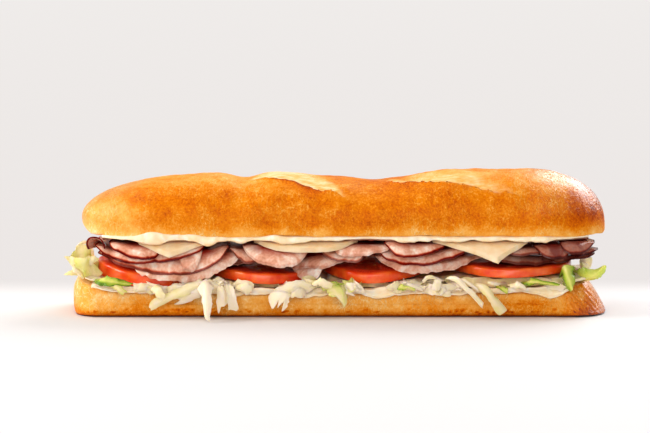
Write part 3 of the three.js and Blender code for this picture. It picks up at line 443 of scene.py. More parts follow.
def smoked_ham():
    material, tree, shader, place_in_mm = new_material(
        "smoked_ham", Roughness=0.24, IOR=1.42, Specular_IOR_Level=0.45, Subsurface_Weight=0.1,
        Subsurface_Scale=MM, Subsurface_Radius=(1.0, 0.4, 0.25)
    )
    rim, rind, smoky = [add(tree, "Attribute", attribute_name=name).outputs["Fac"]
                        for name in ("rim", "rind", "smoky")]
    laid = add(tree, "Attribute", attribute_name="laid").outputs["Vector"]
    muscle = add(tree, "TexNoise", {"Vector": laid, "Scale": 1 / MUSCLE_SIZE, "Detail": 5, "Roughness": 0.5,
                                    "Distortion": 0.8}).outputs[0]
    grain = add(tree, "TexNoise", {"Vector": laid, "Scale": 1 / MEAT_GRAIN, "Detail": 3}).outputs[0]
    both_grains = add(tree, "Mix", {0: 0.25, NUMBER_A: muscle, NUMBER_B: grain}).outputs[0]
    meat = add(tree, "ValToRGB", {"Fac": both_grains}, stops=[
        (0.34, "#cd8c70"), (0.46, "#e6ad93"), (0.56, "#f3cfba"), (0.68, "#fcefe4"),
    ]).outputs[0]
    # painted shade: how far the meat is mixed towards dark red, away from the edge
    deep = add(tree, "MapRange", {"Value": rim, "From Min": PAINTED_SHADE_START, "From Max": PAINTED_SHADE_END,
                                  "To Max": 0.95}).outputs[0]
    shiny = add(tree, "MapRange", {"Value": smoky, "To Min": 0.22, "To Max": 0.6}).outputs[0]
    sheen = add(tree, "MapRange", {"Value": deep, "From Max": 0.9, "To Min": shiny, "To Max": 0.0}).outputs[0]
    wire(tree, sheen, shader, "Specular IOR Level")
    wet = add(tree, "MapRange", {"Value": smoky, "To Min": 0.26, "To Max": 0.1}).outputs[0]
    wire(tree, wet, shader, "Roughness")

    uneven = add(tree, "MapRange", {"Value": muscle, "From Min": 0.42, "From Max": 0.58, "To Min": 0.7,
                                    "To Max": 1.15}).outputs[0]
    smoky = add(tree, "Math", {0: smoky, 1: uneven}, operation="MULTIPLY").outputs[0]
    shaded = meat
    # deep mixes in a dark red as painted shade; smoky is the darker, wetter ham at the right end
    for where, over in ((deep, "#a02410"), (smoky, "#7a1e10")):
        shaded = add(tree, "Mix", {"Factor": where, COLOUR_A: shaded, COLOUR_B: over},
                     data_type="RGBA").outputs[COLOUR_OUT]
    wobble = add(tree, "Math", {0: muscle, 1: RIND_WOBBLE, 2: -RIND_WOBBLE / 2},
                 operation="MULTIPLY_ADD").outputs[0]
    depth = add(tree, "Math", {0: rim, 1: wobble}, operation="ADD").outputs[0]
    into_rind = add(tree, "Math", {0: depth, 1: RIND_WIDTH}, operation="DIVIDE").outputs[0]
    smoke = add(tree, "ValToRGB", {"Fac": into_rind}, stops=[
        (0.0, "#741404"), (0.1, "#942610"), (0.2, "#d4704a"), (0.42, "#ffffff"),
    ]).outputs[0]
    smoked = add(tree, "Mix", {"Factor": 1.0, COLOUR_A: shaded, COLOUR_B: smoke}, data_type="RGBA",
                 blend_type="MULTIPLY").outputs[COLOUR_OUT]
    both = add(tree, "Mix", {"Factor": rind, COLOUR_A: shaded, COLOUR_B: smoked}, data_type="RGBA")
    wire(tree, both.outputs[COLOUR_OUT], shader, "Base Color")
    grained = add(tree, "Bump", {"Height": both_grains, "Strength": 0.4, "Distance": MEAT_DEPTH * MM})
    wire(tree, grained.outputs[0], shader, "Normal")
    return material


HAM = smoked_ham()

# %% [markdown]
# ### Swiss cheese
# A machine-cut slice of swiss is smooth, ivory and slightly waxy. Light enters it a few millimetres, so its
# edges look soft. Only faint clouding breaks the even colour.

# %% Cheese
CLOUDING_SIZE, CLOUDING_DEPTH = 5, 0.3  # mm


def swiss_cheese():
    material, tree, shader, place_in_mm = new_material(
        "swiss_cheese", Roughness=0.38, IOR=1.45, Subsurface_Weight=0.35, Subsurface_Scale=3 * MM,
        Subsurface_Radius=(1.0, 0.7, 0.4)
    )
    clouding = add(tree, "TexNoise", {"Vector": place_in_mm, "Scale": 1 / CLOUDING_SIZE,
                                      "Detail": 3}).outputs[0]
    tint = add(tree, "ValToRGB", {"Fac": clouding}, stops=[(0.3, "#ecc998"), (0.7, "#f4dcba")]).outputs[0]
    wire(tree, tint, shader, "Base Color")
    dulled = add(tree, "Bump", {"Height": clouding, "Strength": 0.15, "Distance": CLOUDING_DEPTH * MM})
    wire(tree, dulled.outputs[0], shader, "Normal")
    return material


CHEESE = swiss_cheese()

# %% [markdown]
# ### Iceberg lettuce
# Iceberg is nearly white at its ribs and turns through yellow to green at the frilly edge of each leaf. It
# is thin, wet and crisp, so it shines and lets light through. The mark called green says how far along that
# scale a piece is, and veins run along each shred.

# %% Lettuce
BLOTCH_SIZE, VEIN_WIDTH, VEIN_DEPTH = 5, 0.8, 0.45  # mm
VEIN_STRETCH = (0.15, 1.0, 1.0)
BLOTCH_STRENGTH = 0.5  # on the scale from white to green


def iceberg_lettuce():
    material, tree, shader, place_in_mm = new_material(
        "iceberg_lettuce", Roughness=0.3, IOR=1.4, Subsurface_Weight=0.4, Subsurface_Scale=2 * MM,
        Subsurface_Radius=(0.8, 1.0, 0.35)
    )
    green = add(tree, "Attribute", attribute_name="green").outputs["Fac"]
    laid = add(tree, "Attribute", attribute_name="laid").outputs["Vector"]
    blotches = add(tree, "TexNoise", {"Vector": place_in_mm, "Scale": 1 / BLOTCH_SIZE,
                                      "Detail": 4}).outputs[0]
    shade = add(tree, "Math", {0: blotches, 1: BLOTCH_STRENGTH, 2: -BLOTCH_STRENGTH / 2},
                operation="MULTIPLY_ADD").outputs[0]
    leafy = add(tree, "Math", {0: green, 1: shade}, operation="ADD").outputs[0]
    leaf = add(tree, "ValToRGB", {"Fac": leafy}, stops=[
        (0.0, "#fae9cf"), (0.3, "#f2e2a6"), (0.55, "#dcdc78"), (0.8, "#9fb93a"), (1.0, "#4f7a1e"),
    ]).outputs[0]
    wire(tree, leaf, shader, "Base Color")
    stretched = add(tree, "Mapping", {"Vector": laid, "Scale": VEIN_STRETCH}).outputs[0]
    veins = add(tree, "TexNoise", {"Vector": stretched, "Scale": 1 / VEIN_WIDTH, "Detail": 3}).outputs[0]
    veined = add(tree, "Bump", {"Height": veins, "Strength": 0.8, "Distance": VEIN_DEPTH * MM}).outputs[0]
    wire(tree, veined, shader, "Normal")
    return material


LETTUCE = iceberg_lettuce()

# %% [markdown]
# ## The lid
# The upper half of the roll is an arch with blunt round ends. Before baking it was scored twice on the
# slant, and each score opened into a pale trough behind a raised, ragged lip. It could be sculpted, but a
# long ball whose rings follow the arch gives the same form with the lip and the trough worked out from
# where each score runs.

# %% The lid's form
SANDWICH_HEIGHT = 82
LID_CUT_HEIGHT = 46.3
LID_ENDS = (-150.2, 153.8)
LID_HALF_WIDTH = 38
ARCH_SHARE = 0.7  # of the turn around the lid, the rest goes round its cut face
ARCH_POWER, CUT_POWER = 2.4, 14
END_LENGTHS, END_POWERS = (75, 48), (2, 2.4)  # the rounding of the left and right end, seen from the side
SPREAD_LENGTH, SPREAD_POWER = 42, 2.1  # the same seen from above
NOSE_HEIGHTS, NOSE_LOWERS = (8.7, 2.2), (60, 150)  # of the tip over the cut face, left and right
CROWN_DIPS = [(0.5, -100, 16), (2.6, -55, 9), (-0.7, -36, 12), (2.1, 18, 14)]  # depth, place and half width
CROWN_STEPS = [(1.5, -30, -12), (-3.9, 34, 66)]  # how far it steps down, and between which places
LEFT_CROWN_DROP = 2.4
LID_SKIN = [(0.45, 13, 1), (0.16, 3.2, 2), (0.1, 1.5, 8)]
LID_EDGE_WAVE = 0.5
LID_EDGE_WAVES = [(LID_EDGE_WAVE, 12, 21), (LID_EDGE_WAVE / 2, 4, 22)]
LEFT_EDGE_SAG = 1.1

# The scores: "bend" curves the line from start to end, "pale" is how many widths of crust are pale, "lip" how
# far along the lip is dark, "bare" how much of the crumb shows, "soft" how gently it starts, and "closes" where
# along the line it starts to close
SCORES = [
    {"start": (-54, -9), "end": (6, -32), "bend": 0.6, "width": 17, "pale": 5, "lip": 0.9, "bare": 1,
     "soft": 0.04, "closes": 0.88},
    {"start": (24, -3), "end": (105, -33), "bend": 0.34, "width": 15, "pale": 2.8, "lip": 0.4, "bare": 0.7,
     "soft": 0.3, "closes": 0.75},
]
SCORE_DEPTH = 2.6
SCORE_LIP, BLISTER = 0.9, 0.5
RAGGED_LINE = [(1.1, 5, 3), (0.7, 1.8, 4)]
BLISTERS = [(0.9, 1.7, 5)]
PATCHES = [(0.3, 5, 6), (0.15, 2, 7)]  # in widths of the score
CLOSING = [(0.05, 6, 11)]  # in lengths of the score
CRISP_EDGE = 0.04

# How brown the lid is, on a scale from pale to burnt, with painted highlights and painted shade added on the
# same scale
LID_BROWNING = 0.52
DARKEST_CRUST = 0.71
LID_CLOUDS = [(0.06, 30, 7), (0.06, 11, 9)]
PALE_BY_CUT, PALE_BY_CUT_HEIGHTS = 0.25, (9, 0.5)  # mm over the cut
PALE_BY_CUT_WAVE = [(1.5, 8, 10)]
# the washes pale the left end, partly as a painted highlight, pale the left of the crown's top, and darken the
# right end, partly by deeper browning and partly as painted shade
LID_WASHES = [(-0.22, (-108, -150), EVERYWHERE), (-0.24, (-20, -60), (68, 80)),
              (0.34, (126, 146), (LID_CUT_HEIGHT, LID_CUT_HEIGHT + 14))]
# a painted highlight: a pale spot where the left soft box gleams on the left end
LID_PAINTED_HIGHLIGHT = [(-0.16, (-126, 14), (60, 8))]
DARK_LIPS, PALE_SCORES = 0.4, 0.36
# a painted highlight: the crown is made paler on the right
RIGHT_CROWN_PAINTED_HIGHLIGHT, RIGHT_CROWN, RIGHT_CROWN_HEIGHTS = 0.16, (106, 26), (66, 78)
LID_GLAZE = [(1, (98, 124), (56, 64)), (0.6, (-104, -128), EVERYWHERE)]


def crown_height(x):
    steps = LEFT_CROWN_DROP + sum(drop * smooth(*between, x) for drop, *between in CROWN_STEPS)
    return SANDWICH_HEIGHT - bumps(x, CROWN_DIPS) - steps


def score_relief(x, y):
    """The height of the scores, how far the crumb shows, how pale the crust is and how dark the lips are."""
    relief, bare, pale, lip_dark = (np.zeros_like(x) for _ in range(4))
    ragged = layered(stack(x, 0, 0), RAGGED_LINE)
    blistered = 1 + layered(stack(x, y, 0), BLISTERS)
    for score in SCORES:
        (x0, y0), (x1, y1) = score["start"], score["end"]
        along = np.clip((x - x0) / (x1 - x0), 0, 1)
        swell = np.sin(math.pi * along)
        strength = swell**0.4
        opening = score["width"] * swell**0.6 + 0.1
        across = (y - mix(y0, y1, along ** score["bend"]) - ragged) / opening
        inside = (across >= 0) & (across < 1) & (swell > 0)
        before = (across < 0) & (swell > 0)
        relief -= np.where(inside, SCORE_DEPTH * strength * (1 - np.clip(across, 0, 1)) ** 1.4, 0)
        relief += np.where(before, strength * np.exp(across * 3) * (SCORE_LIP + BLISTER * blistered), 0)

        patchy = across + layered(stack(x, y, 1), PATCHES)
        edge = mix(CRISP_EDGE, score["soft"], smooth(0.35, 0.5, along))
        opened = smooth(-0.5 * edge, edge, across) * smooth(0, 0.3, swell)
        closing = along + layered(stack(x, y, 2), CLOSING)
        tongue = smooth(1, score["closes"], closing + 0.12 * np.clip(across, 0, 1.5))
        bare = np.maximum(bare, score["bare"] * opened * tongue * smooth(1.3, 0.4, patchy))
        tongue = smooth(1, score["closes"] - 0.25, closing + 0.06 * np.clip(across, 0, 3))
        tongue *= smooth(0, 0.22, closing - 0.04 * np.clip(across, 0, 4))
        pale = np.maximum(pale, opened * tongue * smooth(score["pale"], 0.5 * score["pale"], patchy))
        torn = strength * np.exp(across * 9) * smooth(score["lip"], score["lip"] - 0.25, along)
        lip_dark = np.maximum(lip_dark, np.where(before, torn, 0))
    return relief, bare, pale, lip_dark


def lid_place(along, turn):
    left, right = LID_ENDS
    middle, half = (left + right) / 2, (right - left) / 2
    x = middle + half * np.sign(along) * (1 - (1 - np.abs(along)) ** 1.5)
    inset = half - np.abs(x - middle)
    rise = rounding(inset, np.where(x < 0, *END_LENGTHS), np.where(x < 0, *END_POWERS))
    spread = rounding(inset, SPREAD_LENGTH, SPREAD_POWER)
    nose = mix(*NOSE_HEIGHTS, smooth(*NOSE_LOWERS, x))
    axis = LID_CUT_HEIGHT + nose
    upper = turn < ARCH_SHARE
    angle = math.pi * np.where(upper, turn / ARCH_SHARE, 1 + (turn - ARCH_SHARE) / (1 - ARCH_SHARE))
    arch_y, arch_z = superround(angle, ARCH_POWER)
    cut_y, cut_z = superround(angle, CUT_POWER)
    y = LID_HALF_WIDTH * spread * np.where(upper, arch_y, cut_y)
    scored, bare, pale, lip_dark = score_relief(x, y)
    z_arch = axis + ((crown_height(x) - axis) * arch_z + scored * arch_z) * rise
    z = np.where(upper, z_arch, axis + nose * np.minimum(1, rise * 2.5) * cut_z)
    rough = stack(x * 1.3, y, z * 0.8)
    skin = layered(rough, LID_SKIN) * np.where(upper, rise, 0)
    low_wave = layered(stack(x, y, 0), LID_EDGE_WAVES)
    low_wave -= LEFT_EDGE_SAG * smooth(-146, -128, x) * smooth(-35, -75, x) * (y < 0)
    low_wave *= smooth(9, 2, z - LID_CUT_HEIGHT)
    points = stack(x, y + skin * arch_y, z + skin * arch_z + low_wave)

    crumb = np.where(upper, bare * rise, smooth(-0.9, -0.98, cut_z) * smooth(0.99, 0.95, np.abs(cut_y)))
    over_cut = z - LID_CUT_HEIGHT + layered(rough, PALE_BY_CUT_WAVE)
    browning_and_painted_light = LID_BROWNING + layered(rough, LID_CLOUDS) - PALE_BY_CUT * smooth(*PALE_BY_CUT_HEIGHTS, over_cut)
    # the washes and the spot add painted highlights and painted shade to the browning
    browning_and_painted_light += washes(x, z, LID_WASHES) + spots(x, z, LID_PAINTED_HIGHLIGHT)
    browning_and_painted_light = np.minimum(browning_and_painted_light, DARKEST_CRUST) + DARK_LIPS * lip_dark - PALE_SCORES * pale
    # painted highlight: the right crown is made paler
    browning_and_painted_light -= RIGHT_CROWN_PAINTED_HIGHLIGHT * smooth(*RIGHT_CROWN_HEIGHTS, z) * bump(x, *RIGHT_CROWN)
    return points, {"crumb": crumb, "browning_and_painted_light": browning_and_painted_light, "glazed": washes(x, z, LID_GLAZE)}

# %% Make the lid
LID_RINGS, LID_AROUND = 250, 180

lid = ball("roll_lid", LID_RINGS, LID_AROUND, lid_place)
serve(lid, CRUST, "crust", "bread_lid")

# %% [markdown]
# ## The heel
# The lower half baked on a tray: its base is flat and nearly black at the edge, its ends are blunt, and the
# right end slants back. It is another long ball, flattened underneath.

# %% The heel's form
HEEL_HEIGHT = 15.5
HEEL_END = 155
HEEL_HALF_WIDTH = 37
HEEL_SLANT, SLANT_RANGE = 8, (90, 152)
GAP = 0.35
UPTURNED_ENDS = (5.5, 7)
END_CORNERS, CORNER_POWER = (16, 24), 2.5  # seen from above, left and right
TOP_EDGE, BASE_EDGE = (5.5, 2.6), (3.5, 2)  # length and power of the rounding, seen from the side
TOP_POWER, BASE_POWER = 9, 4.5
AXIS_HEIGHTS, AXIS_LOWERS = (8, 2.4), (110, 150)
HEEL_SKIN = [(0.4, 12, 11), (0.15, 3, 12)]
CREASE_DEPTH, CREASE_WANDER = 0.6, [(2, 6, 17)]
CREASED_LENGTH, CREASED_HEIGHT = (124, 146), (2, 8)

# How brown the heel is, on the same scale, with painted light in its middle
HEEL_BROWNING = 0.28
HEEL_CLOUDS = [(0.09, 22, 13), (0.06, 8, 14)]
HEEL_WASHES = [(-0.08, EVERYWHERE, (7, 13)), (0.5, EVERYWHERE, (1.3, 0.2)), (0.25, (122, 146), EVERYWHERE),
               (0.02, (-120, -150), EVERYWHERE)]
BROWN_FOOT, BROWN_FOOT_HEIGHTS, BROWN_FOOT_WAVE = 0.16, (6.5, 1.5), [(1.2, 9, 15)]
BURNT_SPECK, SPECKS, SPECK_HEIGHTS = 0.4, [(1, 1.6, 16)], (3.2, 2.2)
# the middle of the heel is made paler as painted light
RIGHT_BROWNING, PAINTED_LIGHT_MIDDLE = (0.22, (112, 14), (8, 2.5)), (-0.05, 0, 60)
HEEL_GLAZE = (128, 142)


def heel_top(x):
    return HEEL_HEIGHT - 0.5 + np.where(x < 0, *UPTURNED_ENDS) * np.minimum(1, np.abs(x) / 150) ** 8


def heel_half_width(x):
    return HEEL_HALF_WIDTH * rounding(HEEL_END - np.abs(x), np.where(x < 0, *END_CORNERS), CORNER_POWER)


def heel_place(along, turn):
    x = HEEL_END * np.sign(along) * (1 - (1 - np.abs(along)) ** 1.6)
    inset = HEEL_END - np.abs(x)
    axis = mix(*AXIS_HEIGHTS, smooth(*AXIS_LOWERS, x))
    upper = turn < 0.5
    angle = turn * 2 * math.pi
    up_y, up_z = superround(angle, TOP_POWER)
    low_y, low_z = superround(angle, BASE_POWER)
    lean = HEEL_SLANT * smooth(*SLANT_RANGE, x)
    reach = np.where(upper, heel_top(x - lean) - axis, axis * 1.15)
    end = np.where(upper, rounding(inset, *TOP_EDGE), rounding(inset, *BASE_EDGE))
    z = np.maximum(0, axis + reach * end * np.where(upper, up_z, low_z))
    y = heel_half_width(x) * np.where(upper, up_y * mix(1, 0.97, z / 16), low_y)
    rough = stack(x * 1.2, y, z)
    skin = layered(rough, HEEL_SKIN) * smooth(0.5, 4, z)
    crease = CREASE_DEPTH * np.sin(x * 2.2 + z * 0.8 + layered(rough, CREASE_WANDER))
    crease *= smooth(*CREASED_LENGTH, x) * smooth(*CREASED_HEIGHT, z)
    side = np.abs(np.where(upper, up_y, low_y))
    y = y + np.sign(y) * (skin + crease) * side**2 * np.minimum(1, np.abs(y) / 4)
    points = stack(x - lean * (z / HEEL_HEIGHT), y, z)

    cut_face = smooth(0.93, 0.985, up_z) * smooth(0.985, 0.95, np.abs(up_y)) * smooth(0.8, 1, end)
    foot = smooth(*BROWN_FOOT_HEIGHTS, z + layered(rough, BROWN_FOOT_WAVE))
    browning_and_painted_light = HEEL_BROWNING + layered(rough, HEEL_CLOUDS) + washes(x, z, HEEL_WASHES) + BROWN_FOOT * foot
    browning_and_painted_light += BURNT_SPECK * smooth(0.45, 0.75, layered(rough, SPECKS)) * bump(z, *SPECK_HEIGHTS)
    # painted light: the middle of the heel is made paler
    browning_and_painted_light += spots(x, z, [RIGHT_BROWNING]) + bumps(x, [PAINTED_LIGHT_MIDDLE])
    return points, {"crumb": np.where(upper, cut_face, 0), "browning_and_painted_light": browning_and_painted_light, "glazed": smooth(*HEEL_GLAZE, x)}

# %% Make the heel
HEEL_RINGS, HEEL_AROUND = 230, 120

heel = ball("roll_heel", HEEL_RINGS, HEEL_AROUND, heel_place)
serve(heel, CRUST, "crust", "bread_heel")

# %% [markdown]
# ## The tomatoes
# Four slices lie on the lettuce, each tipped its own way, and the front of each sags a little under the
# ham. A flat ball gives the rim its round edges. The pockets of seeds are pressed into both faces.

# %% The tomatoes' form
TOMATO_THICKNESS = 5.8
SAG_START = 12
RIM_POWER, RIM_BULGE = 9, 0.5
WALL = 5.5  # of firm flesh between the skin and the pockets
HEART = (6, 9)  # mm from the middle, between which the firm heart ends
POCKETS, LOBES = 5, 3
POCKET_SINK, SEED_RISE = 0.7, 0.8
OUTLINE_SWELLS = (0.012, 0.008)  # of the radius, over the pockets and over the lobes
POCKET_WAVE, POCKET_LUMP, SEED_SIZE = 0.25, 4, 1.9
# "forward" and "roll" are degrees of tipping, "sag" how far the front droops, "deep" how much the rim sinks
TOMATOES = [
    {"name": "tomato_1", "middle": (-109, -8, 28.6), "radius": 32.5, "forward": 4, "roll": 1, "sag": 4,
     "deep": 3.6},
    {"name": "tomato_2", "middle": (-44.5, -8.5, 24.8), "radius": 30.5, "forward": 2, "roll": 3, "sag": 0.5,
     "deep": 1.4},
    {"name": "tomato_3", "middle": (20.5, -8, 28), "radius": 30, "forward": 5, "roll": -1, "sag": 2.4,
     "deep": 1.3},
    {"name": "tomato_4", "middle": (100, -7, 28.4), "radius": 34, "forward": 2.5, "roll": -1, "sag": 0.8,
     "deep": 0.6},
]


def tomato_sag(slice_, y):
    return slice_["sag"] * (np.maximum(0, -y - SAG_START) / (slice_["radius"] - SAG_START)) ** 2


def tomato_top(slice_, x, y):
    """The top of a slice over x, y, or nothing where the slice does not reach."""
    dx, dy = x - slice_["middle"][0], y - slice_["middle"][1]
    tilt = dy * math.sin(math.radians(slice_["forward"])) - dx * math.sin(math.radians(slice_["roll"]))
    top = slice_["middle"][2] + TOMATO_THICKNESS / 2 + tilt - tomato_sag(slice_, dy)
    return np.where(np.hypot(dx, dy) > slice_["radius"] + 1, 0, top)


def tomato_place(slice_, seed):
    radius, half = slice_["radius"], TOMATO_THICKNESS / 2
    tipped = Euler((math.radians(slice_["forward"]), 0, 0)).to_matrix()
    rolled = Euler((0, math.radians(slice_["roll"]), 0)).to_matrix()

    def place(along, turn):
        out, up = superround(along * math.pi / 2, RIM_POWER)
        angle = turn * 2 * math.pi
        swell = OUTLINE_SWELLS[0] * np.cos(POCKETS * angle + seed)
        swell = swell + OUTLINE_SWELLS[1] * np.cos(LOBES * angle + 2 * seed)
        r = out * (radius * (1 + swell) - RIM_BULGE) + RIM_BULGE * (1 - up**2) * smooth(0.9, 0.97, out)
        flat = stack(r * np.cos(angle), r * np.sin(angle), up * half)
        pocket = np.cos(POCKETS * angle + seed + 0.5 * np.sin(r * 0.2))
        pocket += POCKET_WAVE * lumps(flat, POCKET_LUMP, seed)
        gel = smooth(-0.3, 0.15, pocket) * smooth(0.8, 0.95, np.abs(up))
        gel = gel * smooth(WALL - 1, WALL + 1, radius - r) * smooth(*HEART, r)
        seeds = gel * smooth(0.35, 0.65, lumps(flat, SEED_SIZE, seed + 20))
        flat[:, 2] -= np.sign(up) * (POCKET_SINK * gel - SEED_RISE * seeds)
        flat[:, 2] -= tomato_sag(slice_, flat[:, 1]) + slice_["deep"] * (1 - up) / 2
        points = flat @ np.array(tipped @ rolled).T + np.array(slice_["middle"])
        skin = smooth(0.93, 0.98, out) * smooth(0.995, 0.96, np.abs(up))
        return unsettle(points), {"skin": skin, "gel": gel, "seed": seeds}

    return place

# %% [markdown]
# Real layers never lie perfectly even. One soft push, the same for everything at the same place, shifts the
# whole filling a little. Because neighbours are pushed together, no slice can cross another.

# %% One unevenness for the whole filling
PUSH = (0.9, 1.1, 0.45)  # in mm, along, across and up
LOOSE_ABOVE, LOOSE_BELOW = (20, 27), (44.5, 41)  # mm, the heights between which the filling can shift


def unsettle(points):
    loose = smooth(*LOOSE_ABOVE, points[:, 2]) * smooth(*LOOSE_BELOW, points[:, 2])
    pushes = [layered(points, [(amount, 13, 31 + axis), (0.5 * amount, 6, 41 + axis)])
              for axis, amount in enumerate(PUSH)]
    return points + np.stack(pushes, axis=-1) * loose[:, None]

# %% Make the tomatoes
TOMATO_RINGS, TOMATO_AROUND = 84, 160

for number, slice_ in enumerate(TOMATOES, 1):
    tomato = ball(f"sliced_tomato_{number}", TOMATO_RINGS, TOMATO_AROUND, tomato_place(slice_, number))
    serve(tomato, TOMATO, "tomato", slice_["name"])

# %% [markdown]
# ## The drooping pile
# Every slice of ham and cheese lies flat in the middle of the roll and bends down over its front and back.
# Think of umbrellas: a slice at a higher level also reaches further out, so the slices nest and never
# touch. The pile is kept as a level for every 5 mm along the roll, and each slice that settles on it raises
# the levels beneath it.

# %% Levels of the pile
HAM_THICKNESS, CHEESE_THICKNESS = 1.15, 1.8
SLICE_GAP = 0.5
PILE_START = 28
CELL, NODES = 5, 34
STEEPEST_LEVEL = 0.35
FLAT_HALF_WIDTH, DROOP_WIDTH, DROOP_DEPTH, DROOP_POWER = 24, 12, 12, 1.8
NEST_LEVEL, NEST_GROWTH = 31, 0.59
PILE_END, PILE_ROUNDING, PILE_POWER, PILE_TIP = 155, 34, 2.3, 4
EASING = (-3, -1.5, 0, 1.5, 3)  # mm


def outline(x):
    return rounding(np.maximum(PILE_TIP, PILE_END - np.abs(x)), PILE_ROUNDING, PILE_POWER)


def flat_reach(level):
    return FLAT_HALF_WIDTH + NEST_GROWTH * (level - NEST_LEVEL)


def height(level, x, y):
    beyond = np.maximum(0, np.abs(y) / outline(x) - flat_reach(level))
    return level - DROOP_DEPTH * (beyond / DROOP_WIDTH) ** DROOP_POWER


def reach_at_height(level, x, z):
    drop = np.maximum(0, level - z) / DROOP_DEPTH
    return outline(x) * (flat_reach(level) + DROOP_WIDTH * drop ** (1 / DROOP_POWER))


def smile(ends_and_low, belly, s):
    """A curve that hangs from its left end over its lowest point, at the share belly, to its right end."""
    left, low, right = ends_and_low
    return np.where(s < belly, mix(low, left, ((belly - s) / belly) ** 2),
                    mix(low, right, ((s - belly) / (1 - belly)) ** 2))


pile = {}
for node in range(-NODES, NODES + 1):
    around_x, around_y = np.meshgrid(np.arange((node - 1) * CELL, (node + 1) * CELL + 1, 1.0),
                                     np.arange(-FLAT_HALF_WIDTH, FLAT_HALF_WIDTH + 1, 2.0))
    tops = [tomato_top(slice_, around_x, around_y).max() + GAP for slice_ in TOMATOES]
    pile[node] = max(PILE_START, *tops)


def settle(start_x, end_x, lift, thickness):
    """Lays a slice on the pile and returns its level as a function of x, eased over a few millimetres."""
    first, last = math.floor(start_x / CELL), math.ceil(end_x / CELL)
    nodes = np.arange(first, last + 1)
    s = np.clip((nodes * CELL - start_x) / (end_x - start_x), 0, 1)
    levels = np.maximum([pile[node] + SLICE_GAP for node in nodes], smile(lift, 0.5, s))
    for order in (range(1, len(levels)), range(len(levels) - 2, -1, -1)):
        for i in order:
            levels[i] = max(levels[i], levels[i - order.step] - STEEPEST_LEVEL * CELL)
    pile.update(zip(nodes.tolist(), (levels + thickness).tolist()))
    return lambda x: np.mean([np.interp(x + ease, nodes * CELL, levels) for ease in EASING], axis=0)

# %% [markdown]
# ## Ham
# The ham is folded into the roll as overlapping slices whose front edges hang like smiles. Each row of the
# list gives a slice's two ends, how high its hanging edge is at the left, at its lowest and at the right,
# where along it that lowest point is, the lowest level it may settle at on the left, in the middle and on
# the right, whether it runs right through to the back, and how dark its rind is.

# %% The ham slices
HAM_SLICES = [
    (-80, -46, (31, 29.5, 33), 0.6, (29, 28, 34), True, 0.6),
    (-122, -56, (29, 21, 34.5), 0.49, (34.4, 34.4, 36.8), True, 0.0),
    (-64.9, -46, (38.5, 31, 29), 0.8, (39, 37.5, 31), False, 0.8),
    (-140, -64.6, (35, 25.5, 37.5), 0.68, (36, 28, 39.4), True, 0.9),
    (-95, -79, (30, 27.2, 31), 0.52, (29, 28, 29), False, 0.3),
    (-141, -78, (39, 31.3, 38.3), 0.39, (41, 28, 40), True, 1.0),
    (-133, -101, (41, 33.5, 36), 0.7, (42.6, 40.7, 40.4), False, 1.0),
    (-29, -7.7, (26, 21.4, 26), 0.48, (29, 28, 29), False, 0.15),
    (-31, 8, (28, 27.4, 34), 0.25, (30, 30, 36), True, 0.35),
    (-56.5, -18, (38, 30, 34), 0.65, (40.8, 40, 38), True, 0.25),
    (-12, 15, (35, 32, 33), 0.6, (38, 37, 38), False, 0.8),
    (20.5, 83, (32, 25.8, 35.5), 0.47, (34, 28, 35), True, 0.1),
    (22.7, 75, (33.5, 30.4, 39.6), 0.43, (38, 36, 40.7), True, 1.0),
    (-5, 31, (38, 35.4, 40.5), 0.46, (40.7, 40.7, 41.2), True, 0.2),
    (25, 61, (40, 35.2, 39.8), 0.3, (42.8, 41.4, 40.4), False, 1.0),
    (80, 147, (33.2, 31, 34.5), 0.5, (35, 28, 35.4), True, 0.8),
    (128, 149, (36.5, 34.6, 36.5), 0.5, (37.4, 36.8, 37.4), False, 1.0),
    (94, 118, (37.5, 36.2, 37.5), 0.35, (39, 39, 39.5), True, 0.8),
    (111, 134, (38.5, 34, 35.5), 0.7, (41, 40.6, 40.2), False, 0.9),
    (126, 147, (37.5, 36.8, 40), 0.35, (42.4, 42.2, 41.6), False, 0.9),
]
LEAST_DROP = 0.8
CORNER = 6
FRONT_SLICE_BACK = -10
LOWEST_HAM_LEVEL = 33
CLEARANCE, PAST_RIM = 1, 5
FOLD_DEPTH, FOLD_WIDTH = 2.4, 9
HANGING_FROM, HANGING_BELOW = (25, 33), (43.5, 40.5)  # mm from the middle, and mm over the table
TORN_EDGE = [(0.6, 6, 51)]
FRAYED_EDGE = [(1, 2.6, 52), (0.5, 1.2, 53)]
FRAYING, KEPT_BY_RIND = 0.9, 0.7
CREEP = 0.7  # how much a bent slice is longer than it looks from above, for each mm it hangs
THIN_EDGE, THIN_EDGE_WIDTH = 0.4, 4
NO_EDGE = 30  # mm, far enough for the darkest meat
HAM_CELL, THROUGH_CELLS, FRONT_CELLS = 0.9, 60, 36
THROUGH_TURNS, FRONT_TURN = (0.5, 0.7), 0.75  # shares of the cells where the slice turns from hanging to flat
SMOKY, SMOKY_FROM = 0.8, (90, 118)  # the ham at the right end is darker and wetter


